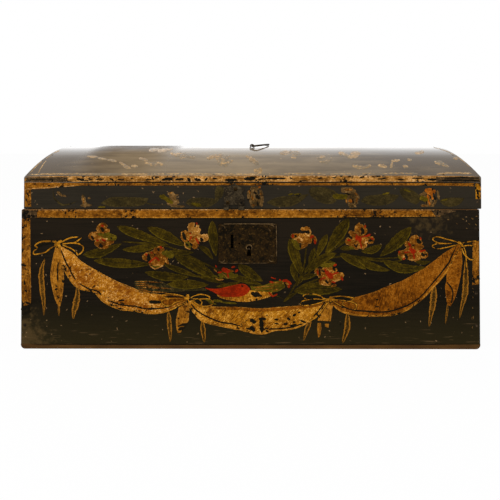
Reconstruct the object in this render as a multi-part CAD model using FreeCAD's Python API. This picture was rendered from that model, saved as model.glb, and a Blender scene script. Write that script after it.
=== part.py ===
import FreeCAD, Part
import math
import os
from FreeCAD import Vector

# A small painted wedding chest with a bent-board lid. Every length is in millimetres.
# The origin is the middle of the underside. +X runs to the right along the front,
# +Y runs to the back and +Z runs up.

# Overall sizes
chest_length = 550.0
chest_depth = 325.0
base_wall_height = 161.0
bottom_board_thickness = 6.0
base_board_thickness = 10.0
lid_wall_height = 31.5
lid_board_thickness = 10.0
vault_board_thickness = 6.2
vault_rise = 39.0

# The lid lies this far above the base, and sits a little to the right of it.
lid_seat_gap = 0.4
lid_side_shift = 2.4

# Rounding that wear has left on the boards
worn_edge = 1.0
worn_corner = 1.6
vault_front_wear = 1.5
bottom_end_round = 5.4

# How far a cutting tool runs past the face that it opens
overrun = 2.0

# Cut nails of the carcase, square and tapered, driven flush
nail_sides = 4
board_nail_head = 3.2
board_nail_tip = 1.0
corner_nail_length = 28.0
bottom_nail_length = 24.0
vault_nail_length = 20.0
vault_edge_nail_sink = 1.0
corner_nail_shares = (0.14, 0.38, 0.62, 0.86)
lid_corner_nail_shares = (0.28, 0.72)
long_row_shares = (-0.84, -0.5, -0.17, 0.17, 0.5, 0.84)
short_row_shares = (-0.6, -0.2, 0.2, 0.6)

# Rose-headed nails of the ironwork
rose_nail_head = 5.6
rose_nail_top = 2.2
rose_nail_height = 1.3
rose_nail_shank = 1.9
rose_nail_tip = 0.8
rose_nail_bite = 8.0

# Lock plate, with its centre measured from the middle of the chest and from the base's top
lock_plate_width = 70.0
lock_plate_height = 47.6
lock_plate_thickness = 1.6
lock_plate_bevel = 0.6
lock_plate_corner = 1.2
lock_plate_offset = -3.2
lock_plate_drop = 41.0

# Hasp slot in the plate
hasp_slot_width = 3.4
hasp_slot_height = 16.8
hasp_slot_offset = -21.7
hasp_slot_drop = 38.2

# Keyhole and the pin that the hollow key turns on
keyhole_radius = 3.1
keyhole_offset = -1.4
keyhole_drop = 47.0
keyhole_leg_length = 9.0
keyhole_leg_top = 3.2
keyhole_leg_foot = 5.8
drill_pin_radius = 1.2
drill_pin_rivet_radius = 2.3
drill_pin_rivet_height = 0.8
drill_pin_proud = 0.4

# Small hole left of the keyhole
spare_hole_radius = 1.1
spare_hole_offset = -13.2
spare_hole_drop = 40.8

# Domed nails of the lock plate: sideways place, drop below the base's top, head radius
dome_nail_height = 1.5
plate_nail_inset_side = 4.9
plate_nail_inset_top = 6.3
plate_nail_radius = 3.2
small_nail_offset = 15.1
small_nail_drop = 26.4
small_nail_radius = 1.9
stud_offset = -2.2
stud_drop = 61.6
stud_radius = 2.3

# Lock case, a sheet-iron tray in the mortise behind the plate, with two nailed ears
case_sheet = 1.2
case_clearance = 0.2
case_depth_inside = 3.7
case_ear_width = 8.5
mortise_width = 52.0
mortise_top_drop = 29.0
mortise_foot_drop = 57.0
case_nail_share = 0.5

# Bolt, its two guides and its bow spring
bolt_throw = 7.5
bolt_height = 5.0
bolt_thickness = 3.0
bolt_front_gap = 0.4
bolt_run_gap = 0.3
bolt_top_drop = 34.5
bolt_head_lead = 1.4
bolt_slot_setback = 1.4
bolt_length = 39.6
bolt_talon_width = 2.5
bolt_talon_gap = 9.0
bolt_talon_drop = 4.0
guide_width = 2.6
guide_strap = 1.2
left_guide_setback = 1.0
right_guide_gap = 0.85
spring_strip = 0.8
spring_width = 2.4
spring_end_gap = 0.1
spring_side_gap = 0.6

# Ward that the key has to pass
ward_radius = 5.6
ward_sheet = 0.8
ward_height = 3.0
ward_gap_angle = 60.0

# Hasp plate on the lid's front. Its hinged leaf is lost, and its two knuckles are left.
hasp_plate_width = 24.8
hasp_plate_height = 26.0
hasp_plate_thickness = 1.4
hasp_offset = -19.4
hasp_tip_drop = 0.5
hasp_knuckle_radius = 2.3
hasp_knuckle_bore = 1.2
hasp_knuckle_gap = 0.4
hasp_left_knuckle_length = 6.2
hasp_right_knuckle_length = 7.2
hasp_knuckle_overhang = 0.7
hasp_eye_rise = 1.0
hasp_eye_half_width = 2.9
hasp_eye_half_height = 3.6
hasp_eye_hole_share = 0.45
hasp_nail_head = 4.2
hasp_nail_places_shares = ((0.14, 0.72), (-0.6, 0.1))

# Strap hinges on the back
hinge_offset = 170.0
hinge_width = 24.0
hinge_leaf_thickness = 1.6
hinge_knuckle_radius = 3.0
hinge_bore_radius = 1.65
hinge_pin_radius = 1.6
hinge_pin_head_radius = 2.5
hinge_pin_head_height = 1.0
hinge_stand_off = 0.3
hinge_side_gap = 0.3
hinge_lid_knuckle_length = 8.0
base_leaf_length = 62.0
base_leaf_neck = 12.0
base_leaf_end_radius = 9.0
lid_leaf_height = 25.0
lid_leaf_top_width = 15.0
base_leaf_nail_shares = ((-0.30, 0.24), (0.30, 0.24), (0.0, 0.85))
lid_leaf_nail_shares = ((-0.27, 0.45), (0.27, 0.45), (0.0, 0.80))

# Bail on the crown of the lid: a shallow bow that lies over to the right, with a tight shoulder
# at each end. It and its staples are hammered from rod, which leaves them eight-sided.
forged_sides = 8
bail_reach = 26.0
bail_staple_spacing = 100.0
bail_pintle_outset = 2.6
bail_pintle_reach = 3.6
bail_rod_radius = 1.4
bail_shoulder_radius = 4.5
bail_rest_gap = 0.3
staple_wire_radius = 0.9
staple_hole_clearance = 0.1
staple_clinch_length = 10.0
staple_clinch_radius = 0.8
staple_inner_gap = 0.3

# Places that follow from the sizes
half_length = chest_length / 2
half_depth = chest_depth / 2
base_top = bottom_board_thickness + base_wall_height
lid_floor = base_top + lid_seat_gap
lid_left = -half_length + lid_side_shift
lid_right = half_length + lid_side_shift
vault_outer_radius = (vault_rise ** 2 + half_depth ** 2) / (2 * vault_rise)
vault_inner_radius = vault_outer_radius - vault_board_thickness
vault_axis_height = lid_floor + lid_wall_height - math.sqrt(vault_inner_radius ** 2 - half_depth ** 2)
crest_height = vault_axis_height + vault_outer_radius
hinge_axis_y = half_depth + hinge_stand_off + hinge_knuckle_radius
hinge_axis_z = base_top + lid_seat_gap / 2


def box(x_low, x_high, y_low, y_high, z_low, z_high):
    size = (x_high - x_low, y_high - y_low, z_high - z_low)
    return Part.makeBox(*size, Vector(x_low, y_low, z_low))


def rod(radius, length, start, direction):
    return Part.makeCylinder(radius, length, start, direction)


def closed_face(edges):
    return Part.Face(Part.Wire(Part.__sortEdges__(edges)))


def polygon_face(points):
    return Part.Face(Part.makePolygon(points + points[:1]))


def arc(first, middle, last):
    return Part.Arc(first, middle, last).toShape()


def line(first, last):
    return Part.LineSegment(first, last).toShape()


def round_edges(shape, radius, wanted):
    edges = [edge for edge in shape.Edges if wanted(edge)]
    return shape.makeFillet(radius, edges)


def lies_at(edge, axis, value):
    # Both ends and the middle of the edge have this coordinate.
    middle = edge.valueAt((edge.FirstParameter + edge.LastParameter) / 2)
    points = [vertex.Point for vertex in edge.Vertexes] + [middle]
    return all(abs(point[axis] - value) < worn_edge / 100 for point in points)


def vault_height(radius, y):
    return vault_axis_height + math.sqrt(radius ** 2 - y ** 2)


def ring(height, width, sides):
    """The corners of a regular section that is this wide from flat to flat."""
    reach = width / 2 / math.cos(math.pi / sides)
    turns = [(2 * i + 1) * math.pi / sides for i in range(sides)]
    return [Vector(reach * math.cos(turn), reach * math.sin(turn), height) for turn in turns]


def flat_sided(stations, sides):
    """A flat-sided solid through rings: each station is a height and a width, from the foot up."""
    rings = [ring(height, width, sides) for height, width in stations]
    faces = [polygon_face(rings[0][::-1]), polygon_face(rings[-1])]
    for low, high in zip(rings, rings[1:]):
        for i in range(len(low)):
            j = (i + 1) % len(low)
            faces.append(polygon_face([low[i], low[j], high[j], high[i]]))
    return Part.Solid(Part.Shell(faces))


def placed(shape, point, outward):
    turned = shape.copy()
    turned.Placement = FreeCAD.Placement(point, FreeCAD.Rotation(Vector(0, 0, 1), outward))
    return turned


def board_nail(point, outward, length, sink=0):
    """Give a flush or sunk nail and the hole that it needs."""
    nail = flat_sided([(-length, board_nail_tip), (-sink, board_nail_head)], nail_sides)
    hole = nail
    if sink > 0:
        hole = nail.fuse(flat_sided([(-sink, board_nail_head), (overrun, board_nail_head)], nail_sides))
    return placed(nail, point, outward), placed(hole, point, outward)


def rose_nail(point, outward, bite=rose_nail_bite, head=rose_nail_head):
    """Give a nail whose hammered head stands on the face at the point."""
    shank = flat_sided([(-bite, rose_nail_tip), (0, rose_nail_shank)], nail_sides)
    top = flat_sided([(0, head), (rose_nail_height, head * rose_nail_top / rose_nail_head)], nail_sides)
    return placed(shank.fuse(top), point, outward)


def dome_nail(point, outward, radius, bite):
    """Give a nail with a round domed head."""
    sphere_radius = (radius ** 2 + dome_nail_height ** 2) / (2 * dome_nail_height)
    cap = Part.makeSphere(sphere_radius, Vector(0, 0, dome_nail_height - sphere_radius))
    cap = cap.common(box(-radius, radius, -radius, radius, 0, dome_nail_height))
    shank = flat_sided([(-bite, rose_nail_tip), (0, rose_nail_shank)], nail_sides)
    return placed(cap.fuse(shank), point, outward)


def cut_all(shape, tools):
    return shape.cut(Part.makeCompound(tools))


def wall_middle(outer, thickness):
    return outer - thickness / 2


def base_corner_nails():
    """Nails through the front and back boards into the end boards."""
    pairs = []
    x_place = wall_middle(half_length, base_board_thickness)
    for side in (-1, 1):
        for face in (-1, 1):
            for share in corner_nail_shares:
                height = bottom_board_thickness + share * base_wall_height
                point = Vector(side * x_place, face * half_depth, height)
                pairs.append(board_nail(point, Vector(0, face, 0), corner_nail_length))
    return pairs


def bottom_nails():
    """Nails up through the bottom board into the four walls."""
    pairs = []
    down = Vector(0, 0, -1)
    x_place = wall_middle(half_length, base_board_thickness)
    y_place = wall_middle(half_depth, base_board_thickness)
    for side in (-1, 1):
        for share in long_row_shares:
            point = Vector(share * half_length, side * y_place, 0)
            pairs.append(board_nail(point, down, bottom_nail_length))
        for share in short_row_shares:
            point = Vector(side * x_place, share * half_depth, 0)
            pairs.append(board_nail(point, down, bottom_nail_length))
    return pairs


def lid_corner_nails():
    """Nails through the lid's front and back boards into its end boards."""
    pairs = []
    x_place = wall_middle(half_length, lid_board_thickness)
    for side in (-1, 1):
        for face in (-1, 1):
            for share in lid_corner_nail_shares:
                height = lid_floor + share * lid_wall_height
                point = Vector(side * x_place + lid_side_shift, face * half_depth, height)
                pairs.append(board_nail(point, Vector(0, face, 0), corner_nail_length))
    return pairs


def vault_nails():
    """Nails through the bent board: upright along the front and back, square to it over the ends."""
    pairs = []
    y_place = wall_middle(half_depth, lid_board_thickness)
    x_place = wall_middle(half_length, lid_board_thickness)
    for side in (-1, 1):
        for share in long_row_shares:
            point = Vector(share * half_length + lid_side_shift, side * y_place, 0)
            point.z = vault_height(vault_outer_radius, y_place)
            pairs.append(board_nail(point, Vector(0, 0, 1), vault_nail_length, vault_edge_nail_sink))
        for share in short_row_shares:
            point = Vector(side * x_place + lid_side_shift, share * half_depth, 0)
            point.z = vault_height(vault_outer_radius, point.y)
            outward = Vector(0, point.y, point.z - vault_axis_height)
            pairs.append(board_nail(point, outward, vault_nail_length))
    return pairs


def base_front_board():
    board = box(-half_length, half_length, -half_depth, base_board_thickness - half_depth,
                bottom_board_thickness, base_top)
    front = round_edges(board, worn_edge,
                        lambda edge: lies_at(edge, 1, -half_depth) and lies_at(edge, 2, base_top))
    corners = [-half_length, half_length]
    return round_edges(front, worn_corner, lambda edge: lies_at(edge, 1, -half_depth)
                       and any(lies_at(edge, 0, corner) for corner in corners))


def base_back_board():
    board = box(-half_length, half_length, half_depth - base_board_thickness, half_depth,
                bottom_board_thickness, base_top)
    corners = [-half_length, half_length]
    return round_edges(board, worn_corner, lambda edge: lies_at(edge, 1, half_depth)
                       and any(lies_at(edge, 0, corner) for corner in corners))


def base_end(side):
    outer = side * half_length
    inner = side * (half_length - base_board_thickness)
    reach = half_depth - base_board_thickness
    board = box(min(outer, inner), max(outer, inner), -reach, reach, bottom_board_thickness, base_top)
    return round_edges(board, worn_edge,
                       lambda edge: lies_at(edge, 0, outer) and lies_at(edge, 2, base_top))


def bottom_board():
    board = box(-half_length, half_length, -half_depth, half_depth, 0, bottom_board_thickness)
    ends = [-half_length, half_length]
    board = round_edges(board, bottom_end_round, lambda edge: lies_at(edge, 2, 0)
                        and any(lies_at(edge, 0, end) for end in ends))
    return round_edges(board, worn_edge, lambda edge: lies_at(edge, 2, 0)
                       and lies_at(edge, 1, -half_depth))


def under_vault():
    """The space under the bent board, which trims the tops of the lid's walls."""
    start = Vector(lid_left - overrun, 0, vault_axis_height)
    return rod(vault_inner_radius, chest_length + 2 * overrun, start, Vector(1, 0, 0))


def lid_long_board(face):
    outer = face * half_depth
    inner = face * (half_depth - lid_board_thickness)
    board = box(lid_left, lid_right, min(outer, inner), max(outer, inner), lid_floor, crest_height)
    board = board.common(under_vault())
    corners = [lid_left, lid_right]
    board = round_edges(board, worn_corner, lambda edge: lies_at(edge, 1, outer)
                        and any(lies_at(edge, 0, corner) for corner in corners))
    return round_edges(board, worn_edge,
                       lambda edge: lies_at(edge, 1, outer) and lies_at(edge, 2, lid_floor))


def lid_end(side):
    outer = side * half_length + lid_side_shift
    inner = side * (half_length - lid_board_thickness) + lid_side_shift
    reach = half_depth - lid_board_thickness
    board = box(min(outer, inner), max(outer, inner), -reach, reach, lid_floor, crest_height)
    board = board.common(under_vault())
    return round_edges(board, worn_edge,
                       lambda edge: lies_at(edge, 0, outer) and lies_at(edge, 2, lid_floor))


def vault_board():
    """One thin board, bent to a low arch and cut square down at its front and back edges."""
    outer_edge = vault_height(vault_outer_radius, half_depth)
    inner_edge = vault_height(vault_inner_radius, half_depth)
    inner_crest = crest_height - vault_board_thickness
    x = lid_left
    section = closed_face([
        arc(Vector(x, -half_depth, outer_edge), Vector(x, 0, crest_height),
            Vector(x, half_depth, outer_edge)),
        line(Vector(x, half_depth, outer_edge), Vector(x, half_depth, inner_edge)),
        arc(Vector(x, half_depth, inner_edge), Vector(x, 0, inner_crest),
            Vector(x, -half_depth, inner_edge)),
        line(Vector(x, -half_depth, inner_edge), Vector(x, -half_depth, outer_edge)),
    ])
    board = section.extrude(Vector(chest_length, 0, 0))
    board = round_edges(board, vault_front_wear, lambda edge: lies_at(edge, 2, outer_edge))

    def end_arris(edge):
        if not any(lies_at(edge, 0, end) for end in (lid_left, lid_right)):
            return False
        middle = edge.valueAt((edge.FirstParameter + edge.LastParameter) / 2)
        reach = math.hypot(middle.y, middle.z - vault_axis_height)
        return abs(reach - vault_outer_radius) < worn_edge / 100

    return board.makeChamfer(worn_edge, [edge for edge in board.Edges if end_arris(edge)])


def plate_point(offset, drop):
    return Vector(offset, -half_depth, base_top - drop)


def upright_prism(points, y_low, y_high):
    """Extrude an outline in the XZ plane, given as pairs, from y_low to y_high."""
    face = polygon_face([Vector(x, y_low, z) for x, z in points])
    return face.extrude(Vector(0, y_high - y_low, 0))


def lock_plate_blank():
    centre = plate_point(lock_plate_offset, lock_plate_drop)
    half_width = lock_plate_width / 2
    half_height = lock_plate_height / 2
    front = -half_depth - lock_plate_thickness
    plate = box(centre.x - half_width, centre.x + half_width, front, -half_depth,
                centre.z - half_height, centre.z + half_height)
    sides = [centre.x - half_width, centre.x + half_width]
    plate = round_edges(plate, lock_plate_corner, lambda edge: any(lies_at(edge, 0, side) for side in sides)
                        and not lies_at(edge, 1, front) and not lies_at(edge, 1, -half_depth))
    return plate.makeChamfer(lock_plate_bevel, [edge for edge in plate.Edges if lies_at(edge, 1, front)])


def keyhole_tool():
    centre = plate_point(keyhole_offset, keyhole_drop)
    front = -half_depth - lock_plate_thickness - overrun
    back = -half_depth + overrun
    top = rod(keyhole_radius, back - front, Vector(centre.x, front, centre.z), Vector(0, 1, 0))
    foot = centre.z - keyhole_leg_length
    points = [
        (centre.x - keyhole_leg_top / 2, centre.z),
        (centre.x + keyhole_leg_top / 2, centre.z),
        (centre.x + keyhole_leg_foot / 2, foot),
        (centre.x - keyhole_leg_foot / 2, foot),
    ]
    return top.fuse(upright_prism(points, front, back))


def hasp_slot_tool():
    centre = plate_point(hasp_slot_offset, hasp_slot_drop)
    return box(centre.x - hasp_slot_width / 2, centre.x + hasp_slot_width / 2,
               -half_depth - lock_plate_thickness - overrun, -half_depth + overrun,
               centre.z - hasp_slot_height / 2, centre.z + hasp_slot_height / 2)


def spare_hole_tool():
    centre = plate_point(spare_hole_offset, spare_hole_drop)
    start = Vector(centre.x, -half_depth - lock_plate_thickness - overrun, centre.z)
    return rod(spare_hole_radius, lock_plate_thickness + 2 * overrun, start, Vector(0, 1, 0))


def lock_plate_nails():
    """Four domed nails at the corners, a small one near the top and a stud at the foot."""
    half_width = lock_plate_width / 2
    half_height = lock_plate_height / 2
    places = []
    for side in (-1, 1):
        for end in (-1, 1):
            offset = lock_plate_offset + side * (half_width - plate_nail_inset_side)
            drop = lock_plate_drop + end * (half_height - plate_nail_inset_top)
            places.append((offset, drop, plate_nail_radius))
    places.append((small_nail_offset, small_nail_drop, small_nail_radius))
    places.append((stud_offset, stud_drop, stud_radius))
    nails = []
    for offset, drop, radius in places:
        point = plate_point(offset, drop) - Vector(0, lock_plate_thickness, 0)
        nails.append(dome_nail(point, Vector(0, -1, 0), radius, rose_nail_bite))
    return nails


mortise_left = lock_plate_offset - mortise_width / 2
mortise_right = lock_plate_offset + mortise_width / 2
mortise_foot = base_top - mortise_foot_drop
mortise_head = base_top - mortise_top_drop
board_inside = -half_depth + base_board_thickness


def mortise_tool():
    return box(mortise_left, mortise_right, -half_depth - overrun, board_inside + overrun,
               mortise_foot, mortise_head)


def lock_case():
    """A tray open to the plate, through the board, with an ear on each side against the inside."""
    left = mortise_left + case_clearance
    right = mortise_right - case_clearance
    foot = mortise_foot + case_clearance
    head = mortise_head - case_clearance
    back = board_inside + case_depth_inside
    body = box(left, right, -half_depth, back, foot, head)
    hollow = box(left + case_sheet, right - case_sheet, -half_depth, back - case_sheet,
                 foot + case_sheet, head - case_sheet)
    ears = box(left - case_ear_width, right + case_ear_width, board_inside, board_inside + case_sheet,
               foot, head)
    return body.fuse(ears).cut(hollow)


def lock_case_nails():
    height = mortise_foot + case_nail_share * (mortise_head - mortise_foot)
    nails = []
    for place in (mortise_left - case_ear_width / 2, mortise_right + case_ear_width / 2):
        point = Vector(place, board_inside + case_sheet, height)
        nails.append(rose_nail(point, Vector(0, 1, 0), base_board_thickness - case_sheet, hasp_nail_head))
    return nails


bolt_front = -half_depth + bolt_front_gap
bolt_back = bolt_front + bolt_thickness
bolt_top = base_top - bolt_top_drop
bolt_foot = bolt_top - bolt_height
bolt_left = hasp_slot_offset + hasp_slot_width / 2 + bolt_slot_setback
bolt_right = bolt_left + bolt_length


def bolt_talons():
    """Left and right edges of the two talons that the key bit works between."""
    middle = keyhole_offset + bolt_throw / 2
    inner_left = middle - bolt_talon_gap / 2
    inner_right = middle + bolt_talon_gap / 2
    return (inner_left - bolt_talon_width, inner_left), (inner_right, inner_right + bolt_talon_width)


def lock_bolt():
    points = [
        (bolt_left, bolt_foot + bolt_head_lead),
        (bolt_left, bolt_top - bolt_head_lead),
        (bolt_left + bolt_head_lead, bolt_top),
        (bolt_right, bolt_top),
        (bolt_right, bolt_foot),
        (bolt_left + bolt_head_lead, bolt_foot),
    ]
    bolt = upright_prism(points, bolt_front, bolt_back)
    for left, right in bolt_talons():
        bolt = bolt.fuse(box(left, right, bolt_front, bolt_back, bolt_foot - bolt_talon_drop, bolt_foot))
    return bolt.removeSplitter()


def bolt_guide(left):
    """A strap bent over the bolt, with its two feet riveted to the back of the plate."""
    outer = box(left, left + guide_width, -half_depth, bolt_back + bolt_run_gap + guide_strap,
                bolt_foot - bolt_run_gap - guide_strap, bolt_top + bolt_run_gap + guide_strap)
    way = box(left - overrun, left + guide_width + overrun, -half_depth, bolt_back + bolt_run_gap,
              bolt_foot - bolt_run_gap, bolt_top + bolt_run_gap)
    return outer.cut(way)


left_guide_place = bolt_left + left_guide_setback
right_guide_place = bolt_talons()[1][1] + right_guide_gap


def bolt_spring():
    """A bow of spring strip between the top of the case and the back of the bolt."""
    left = left_guide_place + guide_width + spring_side_gap
    right = right_guide_place - spring_side_gap
    middle = (left + right) / 2
    ceiling = mortise_head - case_clearance - case_sheet - spring_end_gap
    floor = bolt_top + bolt_run_gap
    y = bolt_front + (bolt_thickness - spring_width) / 2
    lower = arc(Vector(left, y, ceiling - spring_strip), Vector(middle, y, floor),
                Vector(right, y, ceiling - spring_strip))
    upper = arc(Vector(left, y, ceiling), Vector(middle, y, floor + spring_strip),
                Vector(right, y, ceiling))
    ends = [line(Vector(x, y, ceiling - spring_strip), Vector(x, y, ceiling)) for x in (left, right)]
    return closed_face([lower, upper] + ends).extrude(Vector(0, spring_width, 0))


def drill_pin():
    """The post in the keyhole, riveted through the back of the case."""
    centre = plate_point(keyhole_offset, keyhole_drop)
    case_back = board_inside + case_depth_inside
    tip = -half_depth - lock_plate_thickness - drill_pin_proud
    post = rod(drill_pin_radius, case_back - tip, Vector(centre.x, tip, centre.z), Vector(0, 1, 0))
    rivet = rod(drill_pin_rivet_radius, drill_pin_rivet_height, Vector(centre.x, case_back, centre.z),
                Vector(0, 1, 0))
    return post.fuse(rivet)


def lock_ward():
    """A fin bent round the post, open below where the key bit comes in."""
    centre = plate_point(keyhole_offset, keyhole_drop)
    back = board_inside + case_depth_inside - case_sheet
    start = Vector(centre.x, back - ward_height, centre.z)
    ring = rod(ward_radius, ward_height, start, Vector(0, 1, 0))
    ring = ring.cut(rod(ward_radius - ward_sheet, ward_height, start, Vector(0, 1, 0)))
    reach = 2 * ward_radius
    half_gap = math.radians(ward_gap_angle / 2)
    mouth = [
        (centre.x, centre.z),
        (centre.x - reach * math.sin(half_gap), centre.z - reach * math.cos(half_gap)),
        (centre.x + reach * math.sin(half_gap), centre.z - reach * math.cos(half_gap)),
    ]
    return ring.cut(upright_prism(mouth, start.y - overrun, back + overrun))


hasp_foot = lid_floor + lid_wall_height - hasp_tip_drop - hasp_plate_height
hasp_front = -half_depth - hasp_plate_thickness
hasp_knuckle_y = -half_depth - hasp_knuckle_gap - hasp_knuckle_radius
hasp_knuckle_z = lid_floor + hasp_knuckle_radius - lid_seat_gap - hasp_knuckle_overhang


def hasp_point(width_share, height_share):
    """A place on the hasp plate's back, in shares of its half width and of its height."""
    x = hasp_offset + width_share * hasp_plate_width / 2
    return Vector(x, -half_depth, hasp_foot + height_share * hasp_plate_height)


def hasp_outline():
    """Pointed at the top, with hollow shoulders and a waist above the square foot."""
    curve_shares = [
        ((-0.95, 0), (-0.97, 0.20), (-0.98, 0.36)),
        ((-0.98, 0.36), (-0.86, 0.52), (-0.92, 0.62)),
        ((-0.92, 0.62), (-0.99, 0.70), (-1.0, 0.80)),
        ((-1.0, 0.80), (-0.42, 0.88), (0.03, 1.0)),
        ((0.03, 1.0), (0.48, 0.86), (1.0, 0.74)),
        ((1.0, 0.74), (0.97, 0.66), (0.86, 0.58)),
        ((0.86, 0.58), (0.80, 0.50), (0.95, 0.40)),
        ((0.95, 0.40), (0.98, 0.22), (0.97, 0)),
    ]
    edges = [arc(*[hasp_point(*share) for share in shares]) for shares in curve_shares]
    edges.append(line(hasp_point(0.97, 0), hasp_point(-0.95, 0)))
    return closed_face(edges)


def hasp_plate():
    plate = hasp_outline().extrude(Vector(0, -hasp_plate_thickness, 0))
    left_edge = hasp_offset - hasp_plate_width / 2
    right_edge = hasp_offset + hasp_plate_width / 2
    ends = [
        (left_edge, left_edge + hasp_left_knuckle_length),
        (right_edge - hasp_right_knuckle_length, right_edge),
    ]
    for low, high in ends:
        web = box(low, high, hasp_front, -half_depth, hasp_knuckle_z, hasp_foot + hasp_eye_rise)
        plate = plate.fuse([web, hasp_barrel(hasp_knuckle_radius, low, high)])
    eye_x = right_edge - hasp_right_knuckle_length / 2
    plate = plate.fuse(hasp_oval(eye_x)).cut(hasp_oval(eye_x, hasp_eye_hole_share))
    for low, high in ends:
        plate = plate.cut(hasp_barrel(hasp_knuckle_bore, low, high))
    return plate.removeSplitter()


def hasp_barrel(radius, low, high):
    """A round along the line that the two knuckles share."""
    return rod(radius, high - low, Vector(low, hasp_knuckle_y, hasp_knuckle_z), Vector(1, 0, 0))


def hasp_oval(x, scale_share=1):
    """An upright oval prism from the eye's raised face to the board, or a like one of smaller section."""
    front = hasp_front - hasp_eye_rise
    centre = Vector(x, front, hasp_foot + hasp_eye_half_height - hasp_eye_rise)
    top = centre + Vector(0, 0, hasp_eye_half_height * scale_share)
    side = centre + Vector(hasp_eye_half_width * scale_share, 0, 0)
    ellipse = Part.Ellipse(top, side, centre)
    return Part.Face(Part.Wire(ellipse.toShape())).extrude(Vector(0, -half_depth - front, 0))


def hasp_nails():
    nails = []
    for share in hasp_nail_places_shares:
        point = hasp_point(*share) - Vector(0, hasp_plate_thickness, 0)
        nails.append(rose_nail(point, Vector(0, -1, 0), rose_nail_bite, hasp_nail_head))
    return nails


def hinge_knuckle(centre_x, low, high):
    return rod(hinge_knuckle_radius, high - low, Vector(centre_x + low, hinge_axis_y, hinge_axis_z),
               Vector(1, 0, 0))


def hinge_bore(centre_x):
    return rod(hinge_bore_radius, hinge_width + 2 * overrun,
               Vector(centre_x - hinge_width / 2 - overrun, hinge_axis_y, hinge_axis_z), Vector(1, 0, 0))


lid_knuckle_half = hinge_lid_knuckle_length / 2
base_knuckle_start = lid_knuckle_half + hinge_side_gap
leaf_clear = hinge_knuckle_radius + hinge_side_gap
leaf_back = half_depth + hinge_leaf_thickness


def base_leaf(centre_x):
    """The lower strap: it narrows to a neck and ends in a round."""
    half_width = hinge_width / 2
    end_z = hinge_axis_z - base_leaf_length + base_leaf_end_radius
    points = [
        (centre_x - half_width, hinge_axis_z),
        (centre_x + half_width, hinge_axis_z),
        (centre_x + half_width, hinge_axis_z - half_width),
        (centre_x + base_leaf_neck / 2, end_z),
        (centre_x - base_leaf_neck / 2, end_z),
        (centre_x - half_width, hinge_axis_z - half_width),
    ]
    leaf = upright_prism(points, half_depth, leaf_back)
    leaf = leaf.fuse(rod(base_leaf_end_radius, hinge_leaf_thickness, Vector(centre_x, half_depth, end_z),
                         Vector(0, 1, 0)))
    leaf = leaf.cut(box(centre_x - base_knuckle_start, centre_x + base_knuckle_start,
                        half_depth - overrun, leaf_back + overrun,
                        hinge_axis_z - leaf_clear, base_top + overrun))
    leaf = leaf.fuse(hinge_knuckle(centre_x, -half_width, -base_knuckle_start))
    leaf = leaf.fuse(hinge_knuckle(centre_x, base_knuckle_start, half_width))
    return leaf.cut(hinge_bore(centre_x)).removeSplitter()


def lid_leaf(centre_x):
    """The upper strap, shorter, with clipped top corners and the middle knuckle."""
    half_width = hinge_width / 2
    foot = hinge_axis_z + leaf_clear
    top = hinge_axis_z + lid_leaf_height
    clip = half_width - lid_leaf_top_width / 2
    points = [
        (centre_x - lid_knuckle_half, hinge_axis_z),
        (centre_x + lid_knuckle_half, hinge_axis_z),
        (centre_x + lid_knuckle_half, foot),
        (centre_x + half_width, foot),
        (centre_x + half_width, top - clip),
        (centre_x + lid_leaf_top_width / 2, top),
        (centre_x - lid_leaf_top_width / 2, top),
        (centre_x - half_width, top - clip),
        (centre_x - half_width, foot),
        (centre_x - lid_knuckle_half, foot),
    ]
    leaf = upright_prism(points, half_depth, leaf_back)
    leaf = leaf.fuse(hinge_knuckle(centre_x, -lid_knuckle_half, lid_knuckle_half))
    return leaf.cut(hinge_bore(centre_x)).removeSplitter()


def hinge_pin(centre_x):
    """A rivet through the three knuckles, headed at both ends."""
    middle = Vector(centre_x, hinge_axis_y, hinge_axis_z)
    axis = Vector(1, 0, 0)
    left, right = -axis * hinge_width / 2, axis * hinge_width / 2
    pin = rod(hinge_pin_radius, hinge_width, middle + left, axis)
    for start in (left - axis * hinge_pin_head_height, right):
        pin = pin.fuse(rod(hinge_pin_head_radius, hinge_pin_head_height, middle + start, axis))
    return pin


def leaf_nails(centre_x, reach, shares):
    nails = []
    for width_share, reach_share in shares:
        point = Vector(centre_x + width_share * hinge_width, leaf_back, hinge_axis_z + reach * reach_share)
        nails.append(rose_nail(point, Vector(0, 1, 0)))
    return nails


staple_inner_radius = bail_rod_radius + staple_inner_gap
bail_y = bail_staple_spacing / 2
pintle_start = bail_y - bail_pintle_reach
bail_pivot_z = vault_height(vault_outer_radius, pintle_start) + bail_rod_radius + staple_inner_gap
bail_pivot_x = lid_side_shift
bail_grip_z = crest_height + bail_rest_gap + bail_rod_radius
bail_rise_angle = math.degrees(math.asin((bail_grip_z - bail_pivot_z) / bail_reach))


def forged_width(radius):
    """Flat-to-flat width of a hammered rod whose corners lie on a round of this radius."""
    return 2 * radius * math.cos(math.pi / forged_sides)


def forged_bar(radius, length, start, direction):
    width = forged_width(radius)
    return placed(flat_sided([(0, width), (length, width)], forged_sides), start, direction)


def bend(centre, start, along, axis, angle, radius):
    """A bent piece of hammered rod: its section at the start, square to along, turned about the centre."""
    section = polygon_face(ring(0, forged_width(radius), forged_sides))
    return placed(section, start, along).revolve(centre, axis, angle)


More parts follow.
